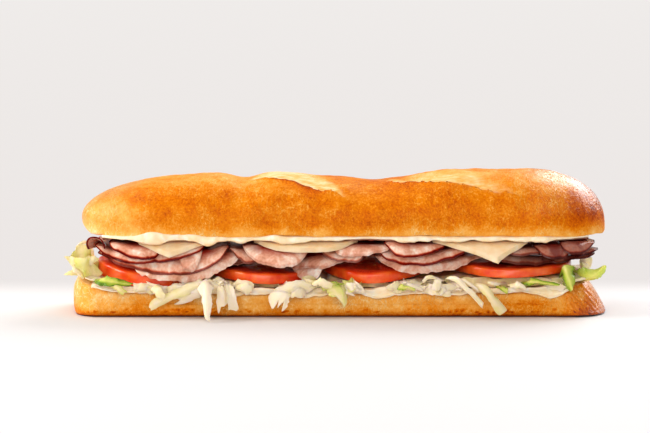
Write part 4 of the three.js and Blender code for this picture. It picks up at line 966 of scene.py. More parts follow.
def drape(points):
    """Pushes what hangs over the edge outwards: past the tomato beneath it, and in soft folds."""
    x, y, z = points.T
    out, facing = np.abs(y), np.sign(y)
    past = np.zeros_like(x)
    for slice_ in TOMATOES:
        dx, radius = x - slice_["middle"][0], slice_["radius"]
        rim = np.sqrt(np.maximum(0, radius**2 - dx**2)) + facing * slice_["middle"][1]
        rim_top = tomato_top(slice_, x, facing * np.maximum(0, rim - 1))
        lowest = reach_at_height(LOWEST_HAM_LEVEL, x, np.minimum(z, LOWEST_HAM_LEVEL))
        need = np.where(np.abs(dx) < radius, np.maximum(0, rim + CLEARANCE - lowest), 0)
        past = np.maximum(past, need * smooth(rim_top + PAST_RIM, rim_top - 0.5, z))
    folds = FOLD_DEPTH * (0.5 + 0.5 * lumps(stack(x, facing * 40, z * 0.35), FOLD_WIDTH, 47))
    hanging = smooth(*HANGING_FROM, out) * smooth(*HANGING_BELOW, z)
    return stack(x, facing * (out + (past + folds) * hanging), z)


def ham_place(row, index):
    left, right, rim, belly, lift, through, rind = row
    level_at = settle(left, right, lift, HAM_THICKNESS)
    xs = np.linspace(left, right, 200)
    level = level_at(xs)
    flat = outline(xs) * flat_reach(level)
    part = (xs - left) / (right - left)
    along = stack(xs, index * 9, 0)
    torn = layered(along, TORN_EDGE) + (FRAYING - KEPT_BY_RIND * rind) * layered(along, FRAYED_EDGE)
    reaches = []
    for s in (part, 1 - part):
        wanted = reach_at_height(level, xs, np.minimum(level - LEAST_DROP, smile(rim, belly, s) + torn))
        reaches.append(mix(flat, wanted, rounding(np.minimum(part, 1 - part) * (right - left), CORNER, 2)))

    def place(u, v, side):
        x = mix(left, right, u)
        front, back, flat_ = [np.interp(x, xs, values) for values in (*reaches, flat)]
        if through:
            first, last = THROUGH_TURNS
            down, over, up = [np.clip((v - at) / share, 0, 1)
                              for at, share in ((0, first), (first, last - first), (last, 1 - last))]
            y = mix(-front, -flat_, down) + 2 * flat_ * over + (back - flat_) * up
        else:
            down, over = np.clip(v / FRONT_TURN, 0, 1), np.clip((v - FRONT_TURN) / (1 - FRONT_TURN), 0, 1)
            y = mix(-front, -flat_, down) + (flat_ + FRONT_SLICE_BACK) * over
        level_ = level_at(x)

        def walked_to(reach):
            return np.abs(reach) + CREEP * (level_ - height(level_, x, reach))

        to_front = np.where(y < 0, walked_to(front) - walked_to(y), NO_EDGE)
        to_back = np.where(y > 0, walked_to(back) - walked_to(y), NO_EDGE) if through else NO_EDGE
        to_side = np.minimum(x - left, right - x)
        rim_distance = np.maximum(0, np.minimum(np.minimum(to_front, to_back), to_side))
        thin = mix(THIN_EDGE, 1, smooth(0, THIN_EDGE_WIDTH, rim_distance))
        z = height(level_ + side * HAM_THICKNESS * thin, x, y)
        laid = stack(x, np.sign(y) * walked_to(y), index * 40)
        marks = {"rim": rim_distance, "rind": rind, "laid": laid, "smoky": SMOKY * smooth(*SMOKY_FROM, x)}
        return unsettle(drape(stack(x, y, z))), marks

    cells = (max(20, round((right - left) / HAM_CELL)), THROUGH_CELLS if through else FRONT_CELLS)
    return cells, place

# %% Make the ham
for index, row in enumerate(HAM_SLICES):
    cells, place = ham_place(row, index)
    ham = slab(f"ham_slice_{index + 1:02d}", cells, place)
    serve(ham, HAM, "ham", f"ham_{index + 1:02d}")

# %% [markdown]
# ## The curl of ham
# At the left end a narrow end of ham has rolled over on itself, so that its dark rind shows as a loop.

# %% Make the curl
CURL_MIDDLE, CURL_RADIUS, CURL_TILT = (-140.8, 40.7), (5.8, 4.6), math.radians(-40)
CURL_ANGLES = (-20, 250)
CURL_FRONT, CURL_BACK = -31, -12
CURL_NARROWING, CURL_SHIFT, CURL_DROP = 0.6, 3, 1.5
CURL_BODY, CURL_ROUGHNESS, CURL_RIPPLE = 0.7, [(0.35, 5, 61)], 0.8
CURL_CELLS = (60, 24)
CURL_RIND = 3  # mm of dark edge at most, as the curl shows its narrow end


def curl_place(u, v, side):
    angle = np.radians(mix(*CURL_ANGLES, u))
    narrow = 1 - CURL_NARROWING * v
    grow = (side - 0.5) * HAM_THICKNESS * CURL_BODY + layered(stack(u * 24, v * 18, 0), CURL_ROUGHNESS)
    along = (CURL_RADIUS[0] * narrow + grow) * np.cos(angle)
    across = (CURL_RADIUS[1] * narrow + grow) * np.sin(angle)
    x = CURL_MIDDLE[0] + CURL_SHIFT * v + along * math.cos(CURL_TILT) - across * math.sin(CURL_TILT)
    z = CURL_MIDDLE[1] - CURL_DROP * v + along * math.sin(CURL_TILT) + across * math.cos(CURL_TILT)
    y = mix(CURL_FRONT, CURL_BACK, v) + CURL_RIPPLE * np.sin(u * 9) * (1 - v)
    length = CURL_BACK - CURL_FRONT
    rim_distance = np.minimum(v * length * 1.1, CURL_RIND)
    return stack(x, y, z), {"rim": rim_distance, "rind": 1, "laid": stack(u * 30, v * length, 900)}


serve(slab("ham_slice_curl", CURL_CELLS, curl_place), HAM, "ham", "ham_curl")

# %% [markdown]
# ## Swiss cheese
# Two half slices hang a corner over the front and a whole one sags between them. Each is given flat, as a
# few lines across it that lie at known distances from the middle, and is then walked out along the drape.

# %% Make the cheese
CHEESE_LEVEL = 42.3
CHEESE_SLICES = [
    ("cheese_1", [(-98.5, -98, -42.5), (-116, -77, -33), (-121, -69, -13)]),
    ("cheese_2", [(-24, -14, -39.5), (-31, -7, -38.8), (-37, -2, -37.3), (-43, 3, -35), (-47, 7, -32),
                  (-50, 10, -28.5), (-44, 10, 37)]),
    ("cheese_3", [(89.7, 90.2, -45.8), (53, 107.5, -31.5), (53, 109.5, -13)]),
]
DRAPE_STEP = 0.25
CHEESE_CELLS, CHEESE_ROW = 60, 0.7


def reach_along_drape(level, x, distance):
    y, walked, out = np.zeros_like(x), np.zeros_like(x), np.abs(distance)
    for _ in range(math.ceil(out.max() / DRAPE_STEP)):
        step = np.hypot(DRAPE_STEP, height(level, x, y) - height(level, x, y + DRAPE_STEP))
        stride = np.clip((out - walked) / step, 0, 1)
        walked += step * stride
        y += DRAPE_STEP * stride
    return np.sign(distance) * y


def cheese_place(stations):
    """Each station is a line across the slice: its left end, right end and distance from the middle."""
    lefts, rights, distances = zip(*stations)
    level_at = settle(min(lefts), max(rights), (CHEESE_LEVEL,) * 3, CHEESE_THICKNESS)

    def place(u, v, side):
        far = mix(distances[0], distances[-1], v)
        x = mix(np.interp(far, distances, lefts), np.interp(far, distances, rights), u)
        y = reach_along_drape(level_at(x), x, far)
        return unsettle(drape(stack(x, y, height(level_at(x) + side * CHEESE_THICKNESS, x, y)))), {}

    return place


for name, stations in CHEESE_SLICES:
    rows = round((stations[-1][2] - stations[0][2]) / CHEESE_ROW)
    cheese = slab(name.replace("cheese", "swiss_slice"), (CHEESE_CELLS, rows), cheese_place(stations))
    serve(cheese, CHEESE, "cheese", name)

# %% [markdown]
# ## Mayonnaise
# The spread on the heel is pressed out in front, bulges over the cut and runs down in a few drips. The one
# under the lid hangs in blobs along its edge. Both are slabs whose two faces close on each other in a round
# bead.

# %% Mayonnaise on the heel
LOWER_SPREAD_ENDS = (-143, 133)
LOWER_DRIPS = [(0.5, -128, 11), (0.6, -104, 8), (1.2, -62, 14), (2, -20, 16), (3.4, 22, 8), (0.6, 38, 7),
               (0.9, 63, 11), (4.2, 121, 8)]  # depth, place and half width
SPREAD_THICKNESS = 1.2
HANGING_SHARE = 0.42  # of the rows, on each side, that hang down in front of the cut
THINNEST_DRIP, DRIP_START = 0.5, 0.9
BLOBS, SMALL_BLOBS = [(0.6, 5, 71)], [(0.35, 2.4, 72)]
RIPPLES = [(0.4, 3, 73)]
SWELL_HEIGHT, SWELL_ROWS, SWELL_WAVE = 1.6, (0.62, 0.2), [(1, 8, 74)]
LOWER_SPREAD_CELLS = (260, 60)


def lower_spread(u, v, side):
    x = mix(*LOWER_SPREAD_ENDS, u)
    row = 2 * v - 1
    hanging = np.clip((np.abs(row) - (1 - HANGING_SHARE)) / HANGING_SHARE, 0, 1)
    across = np.clip(row / (1 - HANGING_SHARE), -1, 1)
    blobby = stack(x, 0, np.sign(row) * 40)
    drip = DRIP_START + bumps(np.where(row < 0, x, 0.8 * x + 20), LOWER_DRIPS) + layered(blobby, BLOBS)
    drip = np.maximum(THINNEST_DRIP, drip + layered(blobby, SMALL_BLOBS))
    bead = np.sin(math.pi * np.clip(1.12 - hanging, 0, 1) ** 0.8) ** 0.6
    bulge = (0.5 + np.minimum(1.3, drip * 0.35)) * np.where(hanging > 0, np.clip(bead, 0, 1), 1)
    bulge = np.where(hanging >= 1, 0, bulge)
    edge = heel_half_width(x) + GAP
    top = heel_top(x) + GAP
    ripple = layered(stack(x, row * 30, hanging * 8), RIPPLES)
    swollen = 0.4 + layered(stack(x, row * 20, 0), SWELL_WAVE)
    swollen *= SWELL_HEIGHT * bump(np.abs(row), *SWELL_ROWS)
    y = across * edge + np.sign(row) * side * smooth(0, 0.25, hanging) * (bulge + ripple * (hanging < 1))
    lift = side * (SPREAD_THICKNESS + ripple + np.maximum(0, swollen)) * smooth(0.3, 0, hanging)
    low = top - hanging * (drip + 0.4)
    ends = rounding(np.minimum(u, 1 - u) * (LOWER_SPREAD_ENDS[1] - LOWER_SPREAD_ENDS[0]), 8, 2)
    return stack(x, y, low + np.where(side > 0, lift * ends, lift)), {}


spread = slab("mayonnaise_on_heel", LOWER_SPREAD_CELLS, lower_spread)
serve(spread, MAYONNAISE, "mayonnaise", "mayonnaise_lower")

# %% Mayonnaise under the lid
UPPER_SPREAD_ENDS = (-137, 143)
UPPER_HALF_WIDTH = 38.8
UPPER_DRIPS = [(3.6, -108, 10), (3.4, -77, 5), (1.8, -62, 12), (2.6, -30, 7), (1.2, -12, 9), (1.2, 38, 10),
               (1.6, 62, 9), (1.2, 82, 7), (1.4, 112, 14)]  # depth, place and half width
UPPER_BLOBS, SMALL_UPPER_BLOBS = [(1.1, 7, 81)], [(0.45, 2.8, 82)]
LEAST_SAG = 1.1
STARVED, STARVED_AT = 0.7, (15, 13)  # where the ham has wiped the edge
SPREAD_START, SPREAD_FADE = (0.35, (-137, -112)), (0.5, (143, 125))  # what is left at the ends, how far in
TUCKED_IN, DRIP_PULL, EDGE_WAVE = 1.6, 0.8, [(0.4, 4, 83)]
BULGING_OUT = [(1.5, -98, 18)]
SMEARS = [(3.4, -108, 8), (1.8, -88, 12), (1.2, -38, 5)]  # pushed up over the lid's edge
SMEAR_WAVE = [(0.9, 9, 84)]
LID_ROUNDING = (40, 2.1)
PRESSED_DOWN = 20  # steepness with which it meets the filling behind its bead
BEAD_SHARE = 0.6  # of the way from the middle line to the edge, in rows, that the round bead starts
UPPER_SPREAD_CELLS = (250, 60)


def upper_spread(u, v, side):
    x = mix(*UPPER_SPREAD_ENDS, u)
    row = 2 * v - 1
    in_front = row < 0
    blobby = stack(x, 0, np.sign(row) * 40)
    drip = bumps(np.where(in_front, x, 0.8 * x - 15), UPPER_DRIPS) + layered(blobby, UPPER_BLOBS)
    drip = np.maximum(0, drip + layered(blobby, SMALL_UPPER_BLOBS))
    starved = 1 - STARVED * bump(x, *STARVED_AT)
    for left_over, between in (SPREAD_START, SPREAD_FADE):
        starved = starved * mix(left_over, 1, smooth(*between, x))
    sag = (LEAST_SAG + drip) * starved
    tucked_in = np.maximum(0, TUCKED_IN - DRIP_PULL * drip)
    tucked_in = tucked_in + layered(blobby, EDGE_WAVE) - bumps(x, BULGING_OUT)
    reach = UPPER_HALF_WIDTH * rounding(LID_ENDS[1] - np.abs(x), *LID_ROUNDING) - tucked_in
    turn = np.clip((1 - np.abs(row)) / (1 - BEAD_SHARE), 0, 1) * math.pi / 2
    bead = 1.2 + 0.5 * sag
    y = np.sign(row) * np.where(np.abs(row) > BEAD_SHARE, reach - bead * (1 - np.cos(turn)),
                                (reach - bead) * np.abs(row) / BEAD_SHARE)
    smeared = bumps(x, SMEARS) + np.maximum(0, layered(blobby, SMEAR_WAVE))
    ceiling = LID_CUT_HEIGHT + 0.2 + LID_EDGE_WAVE
    thin = mix(0.3, 1, smooth(0.2, BEAD_SHARE, np.abs(row)))
    hung = LID_CUT_HEIGHT - GAP
    z_low = hung - sag / 2 - thin * (sag / 2) * np.sin(turn)
    pressed = hung - sag - PRESSED_DOWN * (1 - np.abs(row) / BEAD_SHARE)
    z_low = np.where(np.abs(row) < BEAD_SHARE, pressed, z_low)
    nodes = np.array(sorted(pile))
    beneath = [np.interp(x + away, nodes * CELL, [pile[n] for n in nodes]) for away in (-CELL, 0, CELL)]
    clear = height(np.maximum.reduce(beneath) + SLICE_GAP, x, y)
    z_high = mix(hung - sag / 2, ceiling, np.sin(turn)) + smeared * np.sin(2 * turn) * in_front
    z = np.where(side > 0, z_high, np.minimum(z_high, np.maximum(z_low, clear)))
    # the underside behind the bead is marked for painted shade
    return stack(x, y, z), {"painted_shade_under": smooth(BEAD_SHARE, 0.93 * BEAD_SHARE, np.abs(row)) * (1 - side)}


spread = slab("mayonnaise_under_lid", UPPER_SPREAD_CELLS, upper_spread)
serve(spread, MAYONNAISE, "mayonnaise", "mayonnaise_upper")

# %% [markdown]
# ## Lettuce
# Shredded iceberg lies in a tangle under the tomatoes. A low core fills the middle, where nobody sees it,
# and shreds cover its rim. One flat strip is modelled and copied for each shred. A shred runs from one
# point to another through a bend, is cupped across, ripples along its edges and narrows to its end.

# %% The core of the lettuce
CORE_ENDS = (-147, 143)
CORE_TOP = (23.5, 21, 22, 24)  # under each tomato
CORE_REACH = 0.86
CORE_CELLS = (150, 44)
EDGE_WAVES, TOP_WAVES, GREEN_PATCHES = [(1, 4, 91)], [(1.1, 4, 92)], [(0.2, 7, 93)]
CORE_WAVE, CORE_WAVE_PACE = 1.2, 0.43
CORE_FOOT, CORE_LEAST, CORE_EDGE_DROP, CORE_GREEN = 2.1, 0.7, 1.4, 0.18
SHRED_THICKNESS = 0.9


def tomato_underside(x, y):
    lowest = np.full(np.shape(x), float(SANDWICH_HEIGHT))
    for slice_, dx, dy in product(TOMATOES, (-7, 0, 7), (-6, 0, 6)):
        top = tomato_top(slice_, x + dx, y + dy)
        lowest = np.where(top > 0, np.minimum(lowest, top - TOMATO_THICKNESS - 2 * GAP), lowest)
    return lowest


def core_top(x):
    near = np.array([bump(x, slice_["middle"][0], 30) for slice_ in TOMATOES])
    return (np.array(CORE_TOP)[:, None] * near).sum(axis=0) / near.sum(axis=0)


def core_place(u, v, side):
    x = mix(*CORE_ENDS, u)
    across = 2 * v - 1
    reach = heel_half_width(x) * CORE_REACH + CORE_WAVE * np.sin(x * CORE_WAVE_PACE)
    y = across * (reach + layered(stack(x, across * 40, 0), EDGE_WAVES))
    flat = stack(x, y, 0)
    low = heel_top(x) + CORE_FOOT
    wavy = core_top(x) + layered(flat, TOP_WAVES) - CORE_EDGE_DROP * smooth(0.6, 1, np.abs(across))
    top = np.maximum(low + CORE_LEAST, np.minimum(wavy, tomato_underside(x, y)))
    green = CORE_GREEN + layered(flat, GREEN_PATCHES)
    return stack(x, y, np.where(side > 0, top, low)), {"green": green, "laid": flat}


core = slab("lettuce_core", CORE_CELLS, core_place)

# %% The shreds that show in front
class Shred(NamedTuple):
    root: tuple  # in mm, where it leaves the heap
    bend: tuple  # where it turns over the cut
    tip: tuple
    width: float
    green: float  # from 0, white, to 1
    cup: float = 0.3  # how far it is cupped across
    taper: float = 0.7  # the width of its end, next to the root's
    wave: float = 0
    jag: float = 0.03  # how ragged its end is, as a share of its length
    upright: bool = False


FRONT_SHREDS = [
    Shred((-144, -16, 21.5), (-147, -22, 30), (-151, -24, 39), 12, 0.42,
          wave=1.3, taper=1, jag=0.07, upright=True),
    Shred((-142, -20, 22.5), (-154, -24, 28), (-155, -26, 33), 9, 0.36,
          wave=1.2, taper=1, jag=0.06, upright=True),
    Shred((-140, -22, 23), (-152, -28, 27), (-158.5, -28, 23.5), 5, 0.3, taper=0.3, upright=True),
    Shred((-146, -6, 21.5), (-148.5, -10, 32), (-148, -10, 37), 7, 0.55, wave=0.6, upright=True),
    Shred((-144.5, 0, 21.5), (-143, 0, 46), (-153, -2, 37.5), 3, 0.1, taper=0.5, upright=True),
    Shred((-142, -24, 22.8), (-149, -30, 25.5), (-153.5, -30, 28.5), 6, 0.25,
          wave=1.2, taper=0.9, jag=0.08, upright=True),
    Shred((-140, -28, 22.3), (-146, -33, 28.5), (-148, -33, 34), 9, 0.42,
          wave=1.4, taper=1.1, jag=0.06, upright=True),
    Shred((-142, -21, 22.6), (-147, -29, 27), (-143, -31, 34.5), 9, 0.3,
          wave=1.4, taper=1, jag=0.06, upright=True),
    Shred((-137, -31, 22), (-142, -47.5, 23.5), (-119, -43.5, 20), 8, 0.9, wave=0.5, taper=0.2),
    Shred((-133, -32, 20.6), (-131, -47.5, 22), (-123.5, -43.5, 15), 4.5, 0.5, taper=0.7),
    Shred((-106, -32, 19.3), (-108, -49, 20.6), (-102, -45.5, 11.5), 5, 0.2, taper=1.2),
    Shred((-75, -33, 18.6), (-72, -50, 27), (-107.5, -44.5, 8), 6.5, 0.3, taper=0.8, wave=0.3, jag=0.05),
    Shred((-67, -33, 20.5), (-70, -49, 21.5), (-95, -43.5, 11), 8.5, 0.12, wave=0.4, taper=1, jag=0.08),
    Shred((-86, -33, 18.9), (-88, -46, 20.5), (-99, -42.5, 15), 6, 0.12, wave=0.6, taper=1),
    Shred((-78, -33, 19.5), (-77, -55, 29), (-77, -60, 1.4), 8.5, 0.0, taper=0.55, cup=0.6),
    Shred((-70, -33, 19.3), (-67.5, -49, 22), (-66.5, -46.5, 7), 5, 0.03, taper=1.5, cup=0.5, jag=0.1),
    Shred((-66, -33, 19.3), (-64.5, -49, 22), (-61.5, -46, 6), 4, 0.05, taper=1.6, cup=-0.4),
    Shred((-57, -33, 18.8), (-60, -47, 21), (-52, -43, 15.5), 6, 0.1, taper=1),
    Shred((-28, -33, 19), (-32, -48, 21), (-36.5, -45.5, 8.2), 6, 0.05, taper=2.2, jag=0.2, cup=0.15),
    Shred((-24, -33, 19.3), (-26, -48, 21.5), (-23, -44, 12.5), 7.5, 0.06, taper=1.3, jag=0.1),
    Shred((-14, -33, 19.6), (-17, -49, 22), (-36, -43.5, 14.5), 7, 0.1, wave=0.5, taper=1),
    Shred((-14, -33, 19.2), (-17, -49, 25), (-6, -45, 18.5), 5, 0.15, taper=1),
    Shred((-8, -33, 18.6), (-8, -48, 24), (0, -45, 11), 8, 0.5, taper=1, jag=0.15, wave=0.4),
    Shred((1, -33, 18.4), (0, -47, 21.5), (3, -43.5, 9.5), 5.2, 0.5, taper=0.8, jag=0.1),
    Shred((8, -33, 18.2), (4, -46, 19.5), (12, -42.5, 16.8), 3.4, 0.3, taper=0.4),
    Shred((31, -33, 18.2), (32, -46.5, 19.5), (43, -43, 16.4), 4, 0.65, taper=0.5),
    Shred((57, -33, 19), (56.5, -47, 28), (54.5, -43.5, 16.5), 4.8, 0.05, taper=1),
    Shred((61, -33, 19.4), (52, -49, 28), (47, -43, 21.5), 2.8, 0.1),
    Shred((61.5, -33, 19.4), (60, -52, 33), (81.5, -45, 8), 3, 0.06, taper=0.9),
    Shred((67, -33, 19.4), (66, -50, 27), (79, -44, 16), 2.6, 0.1),
    Shred((77, -33, 18.8), (78, -52, 25), (93.5, -46, 4.2), 4.4, 0.3, taper=1.4, cup=0.4, jag=0),
    Shred((98, -33, 19.4), (98, -46, 20.5), (106, -43, 18), 4, 0.12),
    Shred((106, -33, 20.4), (106, -45.5, 22.5), (124, -43.5, 19.6), 4.6, 0.85, taper=0.4),
    Shred((131, -24, 24), (124.5, -45, 39), (132.5, -43.5, 17.5), 9, 0.82, cup=0.9, taper=0.55),
    Shred((134, -16, 21.5), (142, -36, 18), (151, -34, 30), 11, 0.7, taper=0.25, cup=0.7, upright=True),
    Shred((139, -4, 22), (146, -12, 24), (142.5, -18, 32), 9, 0.12, wave=0.5, upright=True),
    Shred((139, -12, 22), (147, -20, 26), (140, -22, 29.5), 6, 0.15, wave=0.5, upright=True),
]
TABLE_CLEARANCE = 0.3
SIDE_SHARES = (0.5, 0.5, 0.3)  # of the triangle of root, bend and tip, which add up to about the length
SLANTING, TWISTING, TURNING, WANDERING = 0.2, 0.5, 0.35, 0.5
FINE_RUFFLE, WIDE_RUFFLE = 2.6, 5  # mm
RUFFLE_START, GREEN_RUFFLE = 0.3, 0.9  # mm, for a white shred, and how much more for a green one
THICK_SHARE, THIN_SHARE = 1.2, 0.4  # of the thickness, for a white rib and for a green edge
NIBBLES = [(0.22, 3.4, 101), (0.14, 1.3, 102)]
TIP_ROUNDING, TIP_POWER = 0.16, 2.4


def unit(vectors):
    return vectors / np.linalg.norm(vectors, axis=-1, keepdims=True)


def along_bend(shred, w):
    """The point at the share w of the way from a shred's root over its bend to its tip."""
    root, bend, tip = [np.array(point, float) for point in shred[:3]]
    return (1 - w) ** 2 * root + 2 * w * (1 - w) * bend + w**2 * tip


def shred_place(shred, seed):
    root, bend, tip = [np.array(point, float) for point in shred[:3]]
    width, green, cup, taper, wave = shred.width, shred.green, shred.cup, shred.taper, shred.wave
    sides = np.linalg.norm((bend - root, tip - bend, tip - root), axis=1)
    length = sides @ SIDE_SHARES
    chord = unit((tip - bend) * (1, 0, 1))
    seen = np.array((-chord[2], 0, chord[0]))
    flat = np.array((-1.0 if seen[0] < 0 else 1.0, 0, 0))
    ruffle = RUFFLE_START + wave + GREEN_RUFFLE * green
    thickness = SHRED_THICKNESS * mix(THICK_SHARE, THIN_SHARE, min(1, green * 2.5))
    slant, twist = SLANTING * width / length * math.sin(seed * 2.4), TWISTING * math.sin(seed * 1.7)

    def place(u, v, side):
        s = 2 * v - 1
        ragged = shred.jag * lumps(stack(s * width / 2 * taper, 0, seed), 1.8, 105)
        w = (u + smooth(0.6, 1, u) * (slant * s + ragged))[:, None]
        wander = stack(*(lumps(stack(u * length, k * 20, seed), 7, 106) for k in range(3)))
        centre = along_bend(shred, w) + WANDERING * u[:, None] * wander
        tangent = unit((1 - w) * (bend - root) + w * (tip - bend))
        across = mix(flat, seen, 1 if shred.upright else smooth(0.15, 0.6, w))
        across = unit(across - np.sum(across * tangent, axis=1, keepdims=True) * tangent)
        normal = unit(np.cross(across, tangent))
        turn = (twist * u + TURNING * lumps(stack(u * length, 0, seed), 8, 107))[:, None]
        cosine, sine = np.cos(turn), np.sin(turn)
        across, normal = across * cosine + normal * sine, normal * cosine - across * sine

        nibbled = 1 + layered(stack(u * length, np.sign(s) * 30, seed), NIBBLES)
        tip_rounding = rounding((1 - u) * length + 0.3, width * TIP_ROUNDING, TIP_POWER)
        half = (width / 2) * mix(1, taper, u * u) * nibbled * tip_rounding
        frill = lumps(stack(u * length, s * 3, seed), FINE_RUFFLE, 103)
        frill = ruffle * s * s * (frill + lumps(stack(u * length, s * 2, seed), WIDE_RUFFLE, 104))
        curl = cup * half * s * s + wave * np.sin(u * length * 0.5 + s * 1.5) + frill
        body = thickness * mix(1.0, 0.35, np.abs(s))
        points = centre + across * (s * half)[:, None] + normal * (curl + (side - 0.5) * body)[:, None]
        points[:, 2] = np.maximum(points[:, 2], TABLE_CLEARANCE + side * thickness)
        paleness = green * mix(0.6, 1.15, np.abs(s)) + 0.12 * lumps(points, 5, 108)
        return points, {"green": paleness, "laid": stack(u * length, s * width / 2, seed * 7)}

    return place

# %% [markdown]
# Between those grow many more, too many to list one by one. They follow the same rule all along the rim: a
# root on the core, a bend over the cut and a tip in front of it. A draw with a fixed seed varies them, and
# a shred that would cross a tomato is left out.

# %% The small shreds of the tangle
def crosses_tomato(shred):
    x, y, z = along_bend(shred, np.linspace(0.1, 1, 12)[:, None]).T
    for slice_ in TOMATOES:
        top = tomato_top(slice_, x, y)
        if np.any((top > 0) & (z > top - TOMATO_THICKNESS - 0.8) & (z < top + 1)):
            return True
    return False


TANGLE_ENDS = (-122, 132)
TANGLE_FRONT, TANGLE_BACK = 78, 90  # how many shreds are tried
BARE_FRONT, BARE_SHARE = 52, 0.6  # from here on mostly mayonnaise shows in front
HIGHEST_BEND = 21.8
GREENS = (0, 0.02, 0.04, 0.06, 0.08, 0.1, 0.12, 0.15, 0.2, 0.3, 0.5, 0.75)
SHRED_CELLS, SMALL_SHRED_CELLS = (34, 10), (16, 5)


def tangle(count, side, draw):
    small = []
    for k in range(count):
        x = mix(*TANGLE_ENDS, (k + draw.random()) / count)
        if side < 0 and x > BARE_FRONT and draw.random() < BARE_SHARE:
            continue
        edge = float(heel_half_width(np.array(x)))
        lean = draw.uniform(-20, 20)
        root = (x, side * (edge - draw.uniform(4, 12)), draw.uniform(18, 20.5))
        tip = (x + lean, side * (edge + draw.uniform(1.5, 5)), draw.uniform(14.5, 20.5))
        bend = (x + lean * draw.uniform(0.1, 0.8), side * (edge + draw.uniform(3, 9)),
                min(HIGHEST_BEND, max(root[2], tip[2]) + draw.uniform(-1, 3)))
        green = draw.choice(GREENS)
        shred = Shred(root, bend, tip, draw.uniform(2, 7), green, taper=draw.uniform(0.6, 1.3),
                      wave=draw.uniform(0, 0.8), cup=draw.uniform(-0.6, 0.6), jag=draw.uniform(0, 0.15))
        if not crosses_tomato(shred):
            small.append(shred)
    return small


def strips(name, cells, shreds, first_seed):
    """Models one strip and lays a copy of it along each shred."""
    strip = slab(name, cells, lambda u, v, side: (stack(u, v, side) / MM, {}))
    u, v, side = read_points(strip).T
    laid = []
    for seed, shred in enumerate(shreds, first_seed):
        piece = strip.copy()
        piece.data = strip.data.copy()
        bpy.context.collection.objects.link(piece)
        place_points(piece, *shred_place(shred, seed)(u, v, side))
        laid.append(piece)
    bpy.data.objects.remove(strip)
    return laid


draw = random.Random(11)
small_shreds = tangle(TANGLE_FRONT, -1, draw) + tangle(TANGLE_BACK, 1, draw)
pieces = strips("lettuce_strip", SHRED_CELLS, FRONT_SHREDS, 0)
pieces += strips("small_lettuce_strip", SMALL_SHRED_CELLS, small_shreds, len(FRONT_SHREDS))

bpy.ops.object.select_all(action="DESELECT")
for piece in pieces:
    piece.select_set(True)
core.select_set(True)
bpy.context.view_layer.objects.active = core
bpy.ops.object.join()
core.name = core.data.name = "shredded_lettuce"
close_up(core)
serve(core, LETTUCE, "lettuce", "lettuce")

# %% [markdown]
# ## The table, the light and the camera
# The sandwich was photographed on a white table in a studio. A large soft box on the left is the main
# light, another at the back right draws the long gleam on the end of the lid, and a wide one in front fills
# the filling.

# %% The table
TABLE_SIZE = 240  # m, so that its far edge is never seen
SWEEP_START, SWEEP_END = 40, 150  # mm behind the middle of the sandwich, where the table turns into backdrop
FADE_START, FADE_END = 500, 1000  # mm from the middle, where the table fades into the same backdrop
RISE_END = 4500  # mm behind the middle, where the backdrop has its last shade
GLOW = 0.8

bpy.ops.object.select_all(action="DESELECT")
bpy.ops.mesh.primitive_plane_add(size=TABLE_SIZE)
table = start("studio_table")
paper, tree, shader, place_in_mm = new_material("white_paper_sweep", Roughness=0.7, Base_Color="#e3e2e3")
depth = add(tree, "SeparateXYZ", {0: place_in_mm}).outputs["Y"]
sweep = add(tree, "MapRange", {"Value": depth, "From Min": SWEEP_START, "From Max": SWEEP_END},
            interpolation_type="SMOOTHSTEP").outputs[0]
rise = add(tree, "MapRange", {"Value": depth, "From Min": SWEEP_END, "From Max": RISE_END}).outputs[0]
shades = add(tree, "ValToRGB", {"Fac": rise}, stops=[(0.0, "#f2edeb"), (0.25, "#f3efed"), (1.0, "#f6f3f1")])
glow = add(tree, "Emission", {"Color": shades.outputs[0], "Strength": GLOW})
away = add(tree, "VectorMath", {0: place_in_mm}, operation="LENGTH").outputs["Value"]
fade = add(tree, "MapRange", {"Value": away, "From Min": FADE_START, "From Max": FADE_END},
           interpolation_type="SMOOTHSTEP").outputs[0]
seen = add(tree, "LightPath").outputs["Is Camera Ray"]
only_seen = add(tree, "Math", {0: fade, 1: seen}, operation="MULTIPLY")
backdrop = add(tree, "Math", {0: sweep, 1: only_seen.outputs[0]}, operation="MAXIMUM").outputs[0]
both = add(tree, "MixShader", {0: backdrop, 1: shader.outputs[0], 2: glow.outputs[0]})
tree.links.new(both.outputs[0], tree.nodes["Material Output"].inputs["Surface"])
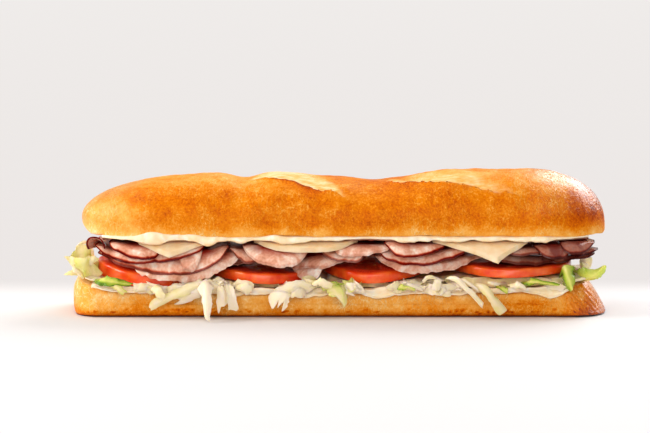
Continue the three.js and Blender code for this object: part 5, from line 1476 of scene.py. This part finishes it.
table.data.materials.append(paper)

# %% The lights
AIR_LIGHT = 0.4


def soft_box(name, place, aim, size, watts, code="#ffffff"):
    """A rectangular lamp; its place, its aim and its size are in mm."""
    bpy.ops.object.light_add(type="AREA", location=Vector(place) * MM)
    box = start(name)
    box.data.shape = "RECTANGLE"
    box.data.size, box.data.size_y = size[0] * MM, size[1] * MM
    box.data.energy = watts
    box.data.color = colour(code)[:3]
    box.rotation_euler = (Vector(aim) - Vector(place)).to_track_quat("-Z", "Y").to_euler()


soft_box("left_soft_box", (-950, -150, 560), (0, 0, 40), (600, 600), 7.5, "#fff8f0")
soft_box("back_right_soft_box", (600, 700, 620), (100, 0, 60), (900, 800), 9)
soft_box("front_soft_box", (-150, -1300, 480), (0, 0, 40), (1200, 600), 5.3)
soft_box("top_soft_box", (0, 100, 1300), (0, 0, 0), (1200, 900), 2.8)

world = bpy.data.worlds.new("studio_air")
world.use_nodes = True
air = world.node_tree.nodes["Background"]
air.inputs["Color"].default_value = colour("#f3f1ef")
shown = add(world.node_tree, "LightPath").outputs["Is Camera Ray"]
strength = add(world.node_tree, "MapRange", {"Value": shown, "To Min": AIR_LIGHT, "To Max": GLOW}).outputs[0]
world.node_tree.links.new(strength, air.inputs["Strength"])
bpy.context.scene.world = world

# %% The camera
VIEW_ELEVATION = math.radians(6)
VIEW_DISTANCE = 2400
FRAME_WIDTH = 373  # mm across the photograph, where the front of the sandwich is
SENSOR = 36
AIM = Vector((-8.9, -33, 58))

bpy.ops.object.camera_add()
camera = start("studio_camera")
away = Vector((0, -math.cos(VIEW_ELEVATION), math.sin(VIEW_ELEVATION)))
camera.location = (AIM + away * VIEW_DISTANCE) * MM
camera.rotation_euler = (-away).to_track_quat("-Z", "Y").to_euler()
camera.data.sensor_width = SENSOR
camera.data.lens = SENSOR * VIEW_DISTANCE / FRAME_WIDTH
bpy.context.scene.camera = camera
bpy.context.scene.view_settings.view_transform = "Standard"
bpy.context.scene.view_settings.look = "Medium High Contrast"
